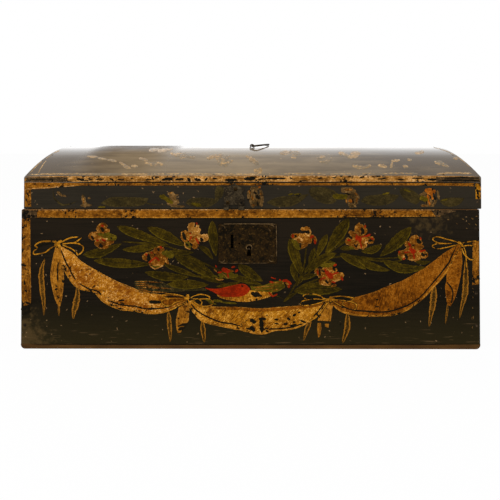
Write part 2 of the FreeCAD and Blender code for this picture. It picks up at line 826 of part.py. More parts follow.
def bail_bar():
    """The bail, flat in the XY plane: two pintles, two shoulders and the bow that joins them."""
    corner = bail_y + bail_pintle_outset
    spare = bail_reach - 2 * bail_shoulder_radius
    bow_radius = bail_shoulder_radius + (spare ** 2 + corner ** 2) / (2 * spare)
    bow_centre = Vector(bail_reach - bow_radius, 0, 0)
    bow_half_angle = math.degrees(math.atan2(corner, bail_shoulder_radius - bow_centre.x))
    upright = Vector(0, 0, 1)
    pieces = []
    for face in (-1, 1):
        outward = Vector(0, face, 0)
        start = Vector(0, face * pintle_start, 0)
        pieces.append(forged_bar(bail_rod_radius, corner - pintle_start, start, outward))
        turn = face * (bow_half_angle - 180)
        pieces.append(bend(Vector(bail_shoulder_radius, face * corner, 0), Vector(0, face * corner, 0),
                           outward, upright, turn, bail_rod_radius))
        pieces.append(bend(bow_centre, Vector(bail_reach, 0, 0), outward, upright,
                           face * bow_half_angle, bail_rod_radius))
    return pieces[0].fuse(pieces[1:])


def lid_bail():
    bail = bail_bar()
    bail.rotate(Vector(0, 0, 0), Vector(0, 1, 0), -bail_rise_angle)
    bail.translate(Vector(bail_pivot_x, 0, bail_pivot_z))
    return bail


staple_spread = staple_inner_radius + staple_wire_radius


def staple_foot(y):
    """Height of the clinched ends' middle line, just under the bent board."""
    return vault_height(vault_inner_radius, abs(y) + staple_clinch_radius) - staple_clinch_radius


def staple_leg(side, y):
    """One leg of a staple, down through the bent board and turned over beneath it."""
    x = bail_pivot_x + side * staple_spread
    foot = staple_foot(y) - staple_wire_radius
    leg = forged_bar(staple_wire_radius, bail_pivot_z - foot, Vector(x, y, foot), Vector(0, 0, 1))
    start = Vector(x, y, staple_foot(y))
    clinch = forged_bar(staple_clinch_radius, staple_clinch_length, start, Vector(side, 0, 0))
    return leg.fuse(clinch)


def bail_staple(y):
    """A bent bar: a half ring over the pintle, and two clinched legs."""
    centre = Vector(bail_pivot_x, y, bail_pivot_z)
    crown = bend(centre, centre + Vector(staple_spread, 0, 0), Vector(0, 0, 1), Vector(0, 1, 0), -180,
                 staple_wire_radius)
    return crown.fuse([staple_leg(side, y) for side in (-1, 1)])


def staple_holes(y):
    """A hole for each leg through the bent board."""
    radius = staple_wire_radius + staple_hole_clearance
    depth = bail_pivot_z - staple_foot(y)
    places = [bail_pivot_x + side * staple_spread for side in (-1, 1)]
    return [rod(radius, depth, Vector(x, y, staple_foot(y)), Vector(0, 0, 1)) for x in places]


def group(solids):
    return Part.makeCompound(solids)


def nails_of(pairs):
    return [nail for nail, hole in pairs]


def holes_of(pairs):
    return [hole for nail, hole in pairs]


def make_parts():
    base_corner = base_corner_nails()
    bottom = bottom_nails()
    lid_corner = lid_corner_nails()
    vault = vault_nails()
    plate_nails = lock_plate_nails()
    case_nails = lock_case_nails()
    hasp_set = hasp_nails()
    base_leaf_set = []
    lid_leaf_set = []
    for centre_x in (-hinge_offset, hinge_offset):
        base_leaf_set += leaf_nails(centre_x, -base_leaf_length, base_leaf_nail_shares)
        lid_leaf_set += leaf_nails(centre_x, lid_leaf_height, lid_leaf_nail_shares)
    base_holes = holes_of(base_corner + bottom)
    lid_holes = holes_of(lid_corner + vault)

    parts = {
        "base_front_board": cut_all(base_front_board(),
                                    base_holes + plate_nails + case_nails + [mortise_tool()]),
        "base_back_board": cut_all(base_back_board(), base_holes + base_leaf_set),
        "base_left_end": cut_all(base_end(-1), base_holes),
        "base_right_end": cut_all(base_end(1), base_holes),
        "bottom_board": cut_all(bottom_board(), base_holes),
        "base_corner_nails": group(nails_of(base_corner)),
        "bottom_nails": group(nails_of(bottom)),
        "lid_front_board": cut_all(lid_long_board(-1), lid_holes + hasp_set),
        "lid_back_board": cut_all(lid_long_board(1), lid_holes + lid_leaf_set),
        "lid_left_end": cut_all(lid_end(-1), lid_holes),
        "lid_right_end": cut_all(lid_end(1), lid_holes),
        "vault_board": cut_all(vault_board(), lid_holes + staple_holes(-bail_y) + staple_holes(bail_y)),
        "lid_corner_nails": group(nails_of(lid_corner)),
        "vault_nails": group(nails_of(vault)),
        "lock_plate": cut_all(lock_plate_blank(),
                              plate_nails + [keyhole_tool(), hasp_slot_tool(), spare_hole_tool()]),
        "lock_plate_nails": group(plate_nails),
        "lock_case": cut_all(lock_case(), case_nails + [drill_pin()]),
        "lock_case_nails": group(case_nails),
        "lock_bolt": lock_bolt(),
        "bolt_left_guide": bolt_guide(left_guide_place),
        "bolt_right_guide": bolt_guide(right_guide_place),
        "bolt_spring": bolt_spring(),
        "drill_pin": drill_pin(),
        "lock_ward": lock_ward(),
        "hasp_plate": cut_all(hasp_plate(), hasp_set),
        "hasp_nails": group(hasp_set),
        "base_hinge_nails": group(base_leaf_set),
        "lid_hinge_nails": group(lid_leaf_set),
        "lid_bail": lid_bail(),
        "front_bail_staple": bail_staple(-bail_y),
        "rear_bail_staple": bail_staple(bail_y),
    }
    for name, centre_x in (("left", -hinge_offset), ("right", hinge_offset)):
        parts[f"{name}_hinge_base_leaf"] = cut_all(base_leaf(centre_x), base_leaf_set)
        parts[f"{name}_hinge_lid_leaf"] = cut_all(lid_leaf(centre_x), lid_leaf_set)
        parts[f"{name}_hinge_pin"] = hinge_pin(centre_x)
    return parts


def write_parts():
    os.makedirs("parts", exist_ok=True)
    parts = make_parts()
    for name, shape in sorted(parts.items()):
        shape.exportStep(f"parts/{name}.step")
        print(name, len(shape.Solids), "solids", shape.isValid(), round(shape.Volume), "mm3")
    print(len(parts), "nodes")
    print("crest", round(crest_height, 2), "hinge axis", round(hinge_axis_y, 3), round(hinge_axis_z, 3))
    print("bail pivot", round(bail_pivot_x, 3), round(bail_pivot_z, 3), "rise", round(bail_rise_angle, 2))


write_parts()
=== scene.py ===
# %% [markdown]
# A small painted marriage chest with a vaulted lid. The boards, nails, hinges, lock and bail come
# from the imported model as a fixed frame; here they get their finishes, and the painter's work is
# laid on them, stroke by stroke. The frame is loaded first, because everything is placed from it.

# %% Load the frame
import bpy
import math
from mathutils import Euler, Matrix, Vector, noise


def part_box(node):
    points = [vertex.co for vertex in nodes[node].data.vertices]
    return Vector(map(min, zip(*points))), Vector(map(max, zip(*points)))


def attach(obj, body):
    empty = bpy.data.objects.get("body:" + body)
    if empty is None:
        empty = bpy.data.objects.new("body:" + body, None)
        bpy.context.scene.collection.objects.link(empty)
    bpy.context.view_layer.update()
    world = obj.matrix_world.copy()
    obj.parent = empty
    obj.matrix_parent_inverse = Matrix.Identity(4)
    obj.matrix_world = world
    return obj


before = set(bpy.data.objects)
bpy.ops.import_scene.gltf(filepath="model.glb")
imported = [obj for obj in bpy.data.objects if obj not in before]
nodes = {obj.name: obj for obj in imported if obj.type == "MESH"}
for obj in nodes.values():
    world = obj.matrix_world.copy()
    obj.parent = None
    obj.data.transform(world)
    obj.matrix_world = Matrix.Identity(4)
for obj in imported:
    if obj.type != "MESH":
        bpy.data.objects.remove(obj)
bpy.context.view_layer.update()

# %% [markdown]
# Sizes are written in millimetres, as a joiner would say them, and turned to metres where they are
# used. The places of boards are read from the frame, so that the finishes follow if a board changes.

# %% Places on the chest
MM = 0.001
base_low, base_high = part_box("base_front_board")
vault_low, vault_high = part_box("vault_board")
lid_low, lid_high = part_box("lid_front_board")
front_y = base_low.y
half_depth = -front_y
base_top = base_high.z
vault_rise = 39.0 * MM
vault_radius = (vault_rise ** 2 + half_depth ** 2) / (2 * vault_rise)
vault_axis_z = vault_high.z - vault_radius
print("front", front_y, "base top", base_top, "crest", vault_high.z, "vault radius", round(vault_radius,
    4))

# %% [markdown]
# The photograph was taken with the camera just below the crest of the lid and almost level, and then
# cropped low, so that upright lines stay nearly upright. A shifted lens says the same thing: the
# camera stays level and its frame is moved down. Focal length and centre row are in picture pixels.

# %% Camera
PICTURE = 500.0
focal_px = 453.2
principal_row = 144.3
sensor = 36.0
camera_place = Vector((1.5, -707.2, 237.8)) * MM
tilt_degrees, pan_degrees = 90.752, 0.186
camera_turn = Euler((math.radians(tilt_degrees), 0.0, math.radians(pan_degrees)))
camera_data = bpy.data.cameras.new("camera")
camera_data.sensor_width = sensor
camera_data.lens = focal_px / PICTURE * sensor
camera_data.shift_y = (principal_row - PICTURE / 2) / PICTURE
camera_data.clip_start = 10 * MM
camera = bpy.data.objects.new("camera", camera_data)
camera.location = camera_place
camera.rotation_euler = camera_turn
bpy.context.scene.collection.objects.link(camera)
bpy.context.scene.camera = camera
bpy.context.scene.view_settings.view_transform = "Standard"
print("lens", round(camera_data.lens, 2), "shift", round(camera_data.shift_y, 4))

# %% [markdown]
# A finish is a small network of nodes. Colours are written as the hex values that a painter would
# read off a swatch, and one function turns them to the linear light that the renderer adds up.
# Another adds a node, sets it and links its inputs; a number as a key counts the sockets, which is
# needed where a node has several inputs of one name, as the colour mixer has.

# %% Helpers for finishes
def linear(code):
    """The linear colour of an sRGB hex code."""
    parts = [int(code[i:i + 2], 16) / 255 for i in (1, 3, 5)]
    return [c / 12.92 if c <= 0.04045 else ((c + 0.055) / 1.055) ** 2.4 for c in parts] + [1.0]


def add(tree, kind, inputs=None, **settings):
    """A new node with its settings; a node as an input's value means that node's first live output."""
    node = tree.nodes.new("ShaderNode" + kind)
    for key, value in settings.items():
        setattr(node, key, value)
    for key, value in (inputs or {}).items():
        if isinstance(value, bpy.types.Node):
            value = next(socket for socket in value.outputs if socket.enabled)
        if isinstance(value, bpy.types.NodeSocket):
            tree.links.new(value, node.inputs[key])
        else:
            node.inputs[key].default_value = value
    return node


MIX_FACTOR, MIX_A, MIX_B = 0, 6, 7


def new_material(name):
    """An empty material and its node tree."""
    material = bpy.data.materials.new(name)
    material.use_nodes = True
    material.node_tree.nodes.clear()
    return material, material.node_tree


def surfaced(material, colour, rough, gloss, relief, metal=0.0):
    """The material with its surface: what is the same all over stands on the shader's own sockets."""
    tree = material.node_tree
    shader = add(tree, "BsdfPrincipled", {"Base Color": colour, "Roughness": rough, "Metallic": metal,
        "Specular IOR Level": gloss, "Normal": relief})
    add(tree, "OutputMaterial", {"Surface": shader})
    return material


print("mid grey", round(linear("#808080")[0], 3), "in linear light")

# %% [markdown]
# The light is a white sky, which the eye sees at full strength, while it lights the chest more
# softly, and one broad lamp above the front. A shine sees it bright near the floor line, like a row
# of low windows, and greyer overhead, like a dim ceiling. The floor and the backdrop are the same
# white; the floor still takes a faint shadow, so the chest stands on something.

# %% Light and floor
WINDOW_TOP, CEILING = 0.26, 0.56
FLOOR_GLOW = 0.96


def make_world(sky_level=0.64, window_level=1.8, ceiling_level=0.68):
    """White to the eye, softer as a light, and in reflections bright below and greyer overhead."""
    world = bpy.data.worlds.new("white studio")
    bpy.context.scene.world = world
    world.use_nodes = True
    tree = world.node_tree
    tree.nodes.clear()
    path = add(tree, "LightPath")
    seen = add(tree, "Math", {0: path.outputs["Is Camera Ray"], 1: path.outputs["Is Transmission Ray"]},
        operation="MAXIMUM")
    way = add(tree, "SeparateXYZ", {0: add(tree, "TexCoord").outputs["Generated"]})
    mirrored = add(tree, "MapRange", {"Value": way.outputs["Z"], "From Min": WINDOW_TOP,
        "From Max": CEILING, "To Min": window_level, "To Max": ceiling_level})
    level = add(tree, "Mix", {0: path.outputs["Is Glossy Ray"], 2: sky_level, 3: mirrored})
    level = add(tree, "Mix", {0: seen, 2: level, 3: 1.0})
    sky = add(tree, "Background", {"Color": linear("#ffffff"), "Strength": level})
    add(tree, "OutputWorld", {"Surface": sky})


def make_lamp(name, place, target, width, power):
    """A square soft lamp that faces its target."""
    data = bpy.data.lights.new(name, "AREA")
    data.size = width
    data.energy = power
    lamp = bpy.data.objects.new(name, data)
    lamp.location = place
    lamp.rotation_euler = (Vector(target) - Vector(place)).to_track_quat("-Z", "Y").to_euler()
    bpy.context.scene.collection.objects.link(lamp)


def make_floor(size=60.0):
    """A wide pale floor that looks white and keeps a faint shadow."""
    bpy.ops.mesh.primitive_plane_add(size=size, location=(0, 0, 0))
    floor = bpy.context.object
    floor.name = "floor"
    material, tree = new_material("white paper sweep")
    paper = add(tree, "BsdfDiffuse", {"Color": linear("#fbfbfa")})
    path = add(tree, "LightPath")
    seen = add(tree, "Math", {0: path.outputs["Is Camera Ray"], 1: path.outputs["Is Glossy Ray"]},
        operation="MAXIMUM")
    seen = add(tree, "Math", {0: seen, 1: path.outputs["Is Transmission Ray"]}, operation="MAXIMUM")
    share = add(tree, "Math", {0: seen, 1: FLOOR_GLOW}, operation="MULTIPLY")
    glow = add(tree, "Emission", {"Color": linear("#ffffff"), "Strength": 1.0})
    both = add(tree, "MixShader", {0: share, 1: paper, 2: glow})
    add(tree, "OutputMaterial", {"Surface": both})
    floor.data.materials.append(material)


make_world()
make_lamp("overhead softbox", place=(-0.35, -0.9, 1.7), target=(0, 0, 0.1), width=1.3, power=15.0)
make_floor()

# %% [markdown]
# Distemper over beech: the painter laid one dark coat, nearly black and turning olive towards the
# floor, with a brush drawn along the boards. It is dry and hardly shines. Two hundred years have
# rubbed the edges down to brown wood, dotted the coat with chips of two sizes, drawn fine scratches
# along its foot and worn it brown at the left foot, and faintly near the right top corner. The wear
# has to follow the edges, so the material measures how far a point lies from the faces of its board.

# %% Painted boards
def position(tree):
    """The object coordinates, in metres, and the same as three numbers."""
    place = add(tree, "TexCoord").outputs["Object"]
    return [place, *add(tree, "SeparateXYZ", {0: place}).outputs]


def chips(tree, place, per_metre, rare, small, large):
    """1 on a few irregular dots, 0 elsewhere; each dot has its own size."""
    cells = add(tree, "TexVoronoi", {"Vector": place, "Scale": per_metre})
    tint = add(tree, "SeparateColor", {0: cells.outputs["Color"]})
    size = add(tree, "MapRange", {"Value": tint.outputs[1], "To Min": small, "To Max": large})
    inside = add(tree, "Math", {0: cells.outputs["Distance"], 1: size}, operation="LESS_THAN")
    chosen = add(tree, "Math", {0: tint, 1: rare}, operation="LESS_THAN")
    return add(tree, "Math", {0: inside, 1: chosen}, operation="MULTIPLY")


def bare_wood(tree, place, wood):
    """Two browns in a grain that runs along the board."""
    along = add(tree, "Mapping", {"Vector": place, "Scale": (6.0, 60.0, 60.0)})
    grain = add(tree, "TexNoise", {"Vector": along, "Scale": 8.0, "Detail": 6.0})
    return add(tree, "Mix", {MIX_FACTOR: grain, MIX_A: linear(wood[0]), MIX_B: linear(wood[1])},
        data_type="RGBA")


WORN_FOOT = (-275 * MM, -162 * MM, 6 * MM)
WORN_HEAD = (215 * MM, -182 * MM, 170 * MM)
FOOT_ZONE = 62 * MM
HEAD_ZONE = (100 * MM, 142 * MM)
RUBBED_BROWN, CHIP_TAN, CHIP_GOLD = "#4a3a20", "#7d6242", "#a98a5e"
CHIP_SHAKE = (5 * MM, 5 * MM, 5 * MM)


def painted_wood(name, coat, wood, painted, gloss, roughness, worn_places):
    """Old paint on wood: coat is its foot, dark and light colour, painted the mask of the outside."""
    foot, dark, light = (linear(code) for code in coat)
    material, tree = new_material(name)
    place, x, y, z = position(tree)
    broad = add(tree, "TexNoise", {"Vector": place, "Scale": 14.0, "Detail": 5.0})
    fine = add(tree, "TexNoise", {"Vector": place, "Scale": 420.0, "Detail": 3.0})
    drawn = add(tree, "Mapping", {"Vector": place, "Scale": (9.0, 200.0, 260.0)})
    brush = add(tree, "TexNoise", {"Vector": drawn, "Scale": 3.0, "Detail": 4.0})
    tone = add(tree, "Math", {0: broad, 1: brush}, operation="MULTIPLY")
    tone = add(tree, "MapRange", {"Value": tone, "From Min": 0.14, "From Max": 0.44})
    upper = add(tree, "MapRange", {"Value": z, "From Min": HEAD_ZONE[0], "From Max": HEAD_ZONE[1],
        "To Max": 0.5})
    tone = add(tree, "Math", {0: tone, 1: upper}, operation="ADD")
    skin = add(tree, "Mix", {MIX_FACTOR: tone, MIX_A: dark, MIX_B: light}, data_type="RGBA")
    low = add(tree, "MapRange", {"Value": z, "From Max": FOOT_ZONE, "To Min": 1.0, "To Max": 0.0})
    skin = add(tree, "Mix", {MIX_FACTOR: low, MIX_A: skin, MIX_B: foot}, data_type="RGBA")
    away = [add(tree, "VectorMath", {0: place, 1: worn}, operation="DISTANCE") for worn in worn_places]
    away = add(tree, "Math", {0: away[0], 1: away[-1]}, operation="MINIMUM")
    near = add(tree, "MapRange", {"Value": away, "From Min": 8 * MM, "From Max": 58 * MM, "To Min": 0.55,
        "To Max": 0.0})
    patchy = add(tree, "TexNoise", {"Vector": place, "Scale": 150.0, "Detail": 4.0, "Roughness": 0.65})
    rubbed = add(tree, "Math", {0: near, 1: patchy}, operation="ADD")
    rubbed = add(tree, "MapRange", {"Value": rubbed, "From Min": 0.72, "From Max": 1.0})
    skin = add(tree, "Mix", {MIX_FACTOR: rubbed, MIX_A: skin, MIX_B: linear(RUBBED_BROWN)},
        data_type="RGBA")
    thin = add(tree, "Mapping", {"Vector": place, "Scale": (40.0, 300.0, 900.0)})
    scratch = add(tree, "TexNoise", {"Vector": thin, "Scale": 1.0, "Detail": 2.0})
    scratch = add(tree, "Math", {0: low, 1: 0.22, 2: scratch}, operation="MULTIPLY_ADD")
    scratch = add(tree, "MapRange", {"Value": scratch, "From Min": 0.82, "From Max": 0.88,
        "To Max": 0.35})
    bent = add(tree, "VectorMath", {0: fine.outputs["Color"], 1: CHIP_SHAKE, 2: place},
        operation="MULTIPLY_ADD")
    large = chips(tree, bent, per_metre=62.0, rare=0.3, small=0.03, large=0.10)
    small = chips(tree, bent, per_metre=165.0, rare=0.2, small=0.08, large=0.19)
    dots = add(tree, "Math", {0: large, 1: small}, operation="MAXIMUM")
    dots = add(tree, "Math", {0: dots, 1: scratch}, operation="MAXIMUM")
    skin = add(tree, "Mix", {MIX_FACTOR: dots, MIX_A: skin, MIX_B: linear(CHIP_TAN)}, data_type="RGBA")
    bare = bare_wood(tree, place, wood)
    outside = painted(tree, x, y, z, fine, broad)
    colour = add(tree, "Mix", {MIX_FACTOR: outside, MIX_A: bare, MIX_B: skin}, data_type="RGBA")
    height = add(tree, "Math", {0: brush, 1: fine}, operation="ADD")
    relief = add(tree, "Bump", {"Height": height, "Strength": 0.25, "Distance": 0.2 * MM})
    rough = add(tree, "MapRange", {"Value": broad, "To Min": roughness - 0.08,
        "To Max": roughness + 0.12})
    return surfaced(material, colour, rough, gloss, relief)


def beyond(tree, value, edge, soft=0.25 * MM):
    """1 where the value passes the edge, 0 below it."""
    return add(tree, "MapRange", {"Value": value, "From Min": edge - soft, "From Max": edge})


def box_outside(middle, half_x, half_y, high_z, skin=1.2 * MM):
    """A painted mask for upright boards: outside faces are painted, arrises are rubbed bare."""
    def painted(tree, x, y, z, fine, broad):
        off = add(tree, "Math", {0: x, 1: middle}, operation="SUBTRACT")
        away_x = add(tree, "Math", {0: off}, operation="ABSOLUTE")
        away_y = add(tree, "Math", {0: y}, operation="ABSOLUTE")
        past_x = beyond(tree, away_x, half_x - skin)
        past_y = beyond(tree, away_y, half_y - skin)
        outer = add(tree, "Math", {0: past_x, 1: past_y}, operation="MAXIMUM")
        both = add(tree, "Math", {0: away_x, 1: away_y}, operation="ADD")
        rub = add(tree, "Math", {0: fine, 1: broad}, operation="MULTIPLY")
        worn = add(tree, "Math", {0: rub, 1: -2.6 * MM, 2: half_x + half_y - 0.2 * MM},
            operation="MULTIPLY_ADD")
        corner = add(tree, "Math", {0: both, 1: worn}, operation="LESS_THAN")
        top_edge = add(tree, "Math", {0: rub, 1: -2.0 * MM, 2: high_z - 0.1 * MM},
            operation="MULTIPLY_ADD")
        under_top = add(tree, "Math", {0: z, 1: top_edge}, operation="LESS_THAN")
        kept = add(tree, "Math", {0: corner, 1: under_top}, operation="MULTIPLY")
        return add(tree, "Math", {0: outer, 1: kept}, operation="MULTIPLY")
    return painted


DARK_COAT = "#100d07"
BEECH = ("#4a3019", "#7d5834")
half_length = (base_high.x - base_low.x) / 2
lid_half = (lid_high.x - lid_low.x) / 2
lid_middle = (lid_high.x + lid_low.x) / 2
FAR_ABOVE = 1.0
base_outside = box_outside(0.0, half_length, half_depth, base_top)
lid_outside = box_outside(lid_middle, lid_half, half_depth, lid_high.z + FAR_ABOVE)
base_paint = painted_wood("black distemper on the base", ("#2b2410", DARK_COAT, "#211a11"), BEECH,
    base_outside, gloss=0.03, roughness=0.52, worn_places=[WORN_FOOT, WORN_HEAD])
lid_paint = painted_wood("black distemper on the lid", ("#2a241b", "#1a1610", "#2c261c"), BEECH,
    lid_outside, gloss=0.05, roughness=0.5, worn_places=[WORN_FOOT])
print("painted", base_paint.name, lid_paint.name)

# %% [markdown]
# The bent board of the lid has kept its varnish. It is a brown coat, dusty in clouds, with painted
# light that makes it pale about the middle and darker towards the ends, and it shines: seen along the
# board it mirrors the white room. A painted sheen, pale blue-grey and mixed with dust, lies over the
# crown, and a broad patch near the left end is rubbed dull. Its inner face is bare, so the mask
# measures how far a point lies from the axis of the vault.

# %% Varnished vault
BARE_ROUGHNESS = 0.68
CROWN = vault_axis_z + vault_radius
DULL_MIDDLE, DULL_CORE, DULL_HALF = -164 * MM, 24 * MM, 68 * MM
PAINTED_LIGHT_MIDDLE = -22 * MM
VARNISH_GLOSS = 0.55
# The pale blue-grey of the painted sheen over the crown, with some dust in it.
DUST_AND_SHEEN = "#acb4c0"


def varnished_vault(name, dark, dusty_and_lit, wood, skin=1.2 * MM):
    """The coat of the bent board, painted on its outer face and its long edges only."""
    material, tree = new_material(name)
    place, x, y, z = position(tree)
    across = add(tree, "Math", {0: y, 1: 2.0}, operation="POWER")
    rise = add(tree, "Math", {0: z, 1: vault_axis_z}, operation="SUBTRACT")
    rise = add(tree, "Math", {0: rise, 1: 2.0}, operation="POWER")
    both = add(tree, "Math", {0: across, 1: rise}, operation="ADD")
    radius = add(tree, "Math", {0: both}, operation="SQRT")
    away_y = add(tree, "Math", {0: y}, operation="ABSOLUTE")
    outer_face = beyond(tree, radius, vault_radius - skin)
    long_edges = beyond(tree, away_y, half_depth - skin)
    outside = add(tree, "Math", {0: outer_face, 1: long_edges}, operation="MAXIMUM")
    broad = add(tree, "TexNoise", {"Vector": place, "Scale": 11.0, "Detail": 6.0, "Roughness": 0.6})
    fine = add(tree, "TexNoise", {"Vector": place, "Scale": 480.0, "Detail": 3.0})
    drawn = add(tree, "Mapping", {"Vector": place, "Scale": (5.0, 24.0, 24.0)})
    brush = add(tree, "TexNoise", {"Vector": drawn, "Scale": 4.0, "Detail": 6.0})
    # Painted light: the pale colour is pushed in about the middle of the lid and fades out towards the
    # ends.
    off = add(tree, "Math", {0: x, 1: PAINTED_LIGHT_MIDDLE}, operation="SUBTRACT")
    off = add(tree, "Math", {0: off}, operation="ABSOLUTE")
    middle = add(tree, "MapRange", {"Value": off, "From Min": 20 * MM, "From Max": 230 * MM,
        "To Min": 0.56, "To Max": 0.0})
    cloud = add(tree, "Math", {0: broad, 1: brush}, operation="ADD")
    cloud = add(tree, "Math", {0: cloud, 1: 0.8, 2: middle}, operation="MULTIPLY_ADD")
    share = add(tree, "MapRange", {"Value": cloud, "From Min": 0.80, "From Max": 1.52})
    coat = add(tree, "Mix", {MIX_FACTOR: share, MIX_A: linear(dark), MIX_B: linear(dusty_and_lit)},
        data_type="RGBA")
    bent = add(tree, "VectorMath", {0: fine.outputs["Color"], 1: CHIP_SHAKE, 2: place},
        operation="MULTIPLY_ADD")
    dots = chips(tree, bent, per_metre=120.0, rare=0.16, small=0.04, large=0.13)
    coat = add(tree, "Mix", {MIX_FACTOR: dots, MIX_A: coat, MIX_B: linear(CHIP_GOLD)}, data_type="RGBA")
    bare = bare_wood(tree, place, wood)
    # Painted sheen over the crown, mixed with dust: a pale blue-grey cloud laid into the colour.
    crown = add(tree, "MapRange", {"Value": z, "From Min": CROWN - 22 * MM, "From Max": CROWN,
        "To Max": 0.5})
    dust_and_sheen_cloud = add(tree, "TexNoise", {"Vector": place, "Scale": 13.0, "Detail": 7.0, "Roughness": 0.7})
    dust_and_sheen = add(tree, "Math", {0: crown, 1: dust_and_sheen_cloud}, operation="MULTIPLY")
    dust_and_sheen = add(tree, "MapRange", {"Value": dust_and_sheen, "From Min": 0.12, "From Max": 0.4, "To Max": 0.5})
    coat = add(tree, "Mix", {MIX_FACTOR: dust_and_sheen, MIX_A: coat, MIX_B: linear(DUST_AND_SHEEN)}, data_type="RGBA")
    colour = add(tree, "Mix", {MIX_FACTOR: outside, MIX_A: bare, MIX_B: coat}, data_type="RGBA")
    relief = add(tree, "Bump", {"Height": fine, "Strength": 0.12, "Distance": 0.1 * MM})
    rough = add(tree, "MapRange", {"Value": broad, "From Min": 0.3, "From Max": 0.7, "To Min": 0.03,
        "To Max": 0.17})
    dull = add(tree, "Math", {0: x, 1: DULL_MIDDLE}, operation="SUBTRACT")
    dull = add(tree, "Math", {0: dull}, operation="ABSOLUTE")
    dull = add(tree, "MapRange", {"Value": dull, "From Min": DULL_CORE, "From Max": DULL_HALF,
        "To Min": 0.75, "To Max": 0.0})
    rough = add(tree, "Math", {0: rough, 1: dull}, operation="ADD")
    rough = add(tree, "Mix", {0: outside, 2: BARE_ROUGHNESS, 3: rough})
    return surfaced(material, colour, rough, VARNISH_GLOSS, relief)


vault_paint = varnished_vault("varnished brown coat on the vault", "#4e3c22", "#8e7856", BEECH)
print("varnished", vault_paint.name)

# %% [markdown]
# Bare beech shows inside and underneath, where nobody painted: a pale brown wood gone dark with
# dust, its grain running along each board.

# %% Bare beech
def bare_beech(name, light, dark):
    """Unpainted beech with grain along X."""
    material, tree = new_material(name)
    place = position(tree)[0]
    along = add(tree, "Mapping", {"Vector": place, "Scale": (5.0, 70.0, 70.0)})
    grain = add(tree, "TexNoise", {"Vector": along, "Scale": 7.0, "Detail": 8.0, "Distortion": 0.3})
    dirt = add(tree, "TexNoise", {"Vector": place, "Scale": 24.0, "Detail": 4.0})
    shade = add(tree, "Math", {0: grain, 1: dirt}, operation="MULTIPLY")
    shade = add(tree, "MapRange", {"Value": shade, "From Min": 0.05, "From Max": 0.45})
    colour = add(tree, "Mix", {MIX_FACTOR: shade, MIX_A: linear(dark), MIX_B: linear(light)},
        data_type="RGBA")
    relief = add(tree, "Bump", {"Height": grain, "Strength": 0.3, "Distance": 0.3 * MM})
    return surfaced(material, colour, rough=0.72, gloss=0.08, relief=relief)


bottom_wood = bare_beech("bare beech gone brown", "#63431b", "#38240e")
print("bare", bottom_wood.name)

# %% [markdown]
# The fittings are smith's iron, hammered and then left to rust brown under wax and dirt. Rusty iron
# is hardly a metal to the eye: the oxide is dull and dark brown, with lighter rust spots, and only the
# rubbed high spots still shine a little. The works of the lock, shut away inside, stayed brighter.

# %% Iron
def old_iron(name, rust, dark, bright, metal=0.1, roughness=0.6, gloss=0.04):
    """Forged iron under brown rust; its high spots are rubbed brighter."""
    material, tree = new_material(name)
    place = position(tree)[0]
    hammer = add(tree, "TexNoise", {"Vector": place, "Scale": 130.0, "Detail": 4.0})
    pits = add(tree, "TexNoise", {"Vector": place, "Scale": 900.0, "Detail": 3.0})
    mix = add(tree, "Math", {0: hammer, 1: pits}, operation="MULTIPLY")
    share = add(tree, "MapRange", {"Value": mix, "From Min": 0.19, "From Max": 0.32})
    colour = add(tree, "Mix", {MIX_FACTOR: share, MIX_A: linear(dark), MIX_B: linear(rust)},
        data_type="RGBA")
    blotch = add(tree, "TexNoise", {"Vector": place, "Scale": 330.0, "Detail": 5.0, "Roughness": 0.7})
    spots = add(tree, "MapRange", {"Value": blotch, "From Min": 0.54, "From Max": 0.68})
    colour = add(tree, "Mix", {MIX_FACTOR: spots, MIX_A: colour, MIX_B: linear(bright)}, data_type="RGBA")
    relief = add(tree, "Bump", {"Height": mix, "Strength": 0.6, "Distance": 0.35 * MM})
    rough = add(tree, "MapRange", {"Value": pits, "To Min": roughness - 0.12, "To Max": roughness + 0.12})
    return surfaced(material, colour, rough, gloss, relief, metal)


plate_iron = old_iron("waxed rusty sheet iron", "#291b08", "#0d0903", "#4f3814")
hasp_iron = old_iron("worn hasp iron", "#3d3323", "#221b12", "#5f5038")
bail_iron = old_iron("forged bail iron", "#3d3020", "#1d1710", "#5d5140", metal=0.3)
nail_iron = old_iron("cut nail iron", "#33281b", "#17120c", "#5b4a36")
bright_iron = old_iron("filed lock iron", "#5d564c", "#3a342c", "#8b857a", metal=0.85, roughness=0.4,
    gloss=0.5)
print("irons", plate_iron.name, bail_iron.name, nail_iron.name, bright_iron.name)

# %% [markdown]
# Each node of the frame takes its finish through its material slot; the meshes stay as they are.

# %% Dress the frame
FINISH = {
    "base_front_board": base_paint, "base_back_board": base_paint, "base_left_end": base_paint,
    "base_right_end": base_paint, "bottom_board": bottom_wood, "lid_front_board": lid_paint,
    "lid_back_board": lid_paint, "lid_left_end": lid_paint, "lid_right_end": lid_paint,
    "vault_board": vault_paint, "lid_bail": bail_iron, "front_bail_staple": bail_iron,
    "rear_bail_staple": bail_iron, "base_corner_nails": nail_iron, "bottom_nails": nail_iron,
    "lid_corner_nails": nail_iron, "hasp_plate": hasp_iron, "vault_nails": nail_iron,
    "lock_bolt": bright_iron, "bolt_left_guide": bright_iron, "bolt_right_guide": bright_iron,
    "bolt_spring": bright_iron, "drill_pin": nail_iron, "lock_ward": bright_iron,
}
for node_name, node in nodes.items():
    finish = FINISH.get(node_name, plate_iron)
    for slot in node.material_slots:
        slot.material = finish
print("dressed", len(nodes), "nodes;", len(FINISH), "by name, the rest in", plate_iron.name)

# %% [markdown]
# The decoration is drawn with a brush, so it is built of brush strokes. A stroke is a thin skin of
# paint between two lines; it swells and tapers, and its skin is highest in the middle. The painter's
# lines are given as points of the photograph, and a sight line from the camera through each point
# finds the place on the board, so that the strokes lie on the wood wherever they are seen from.

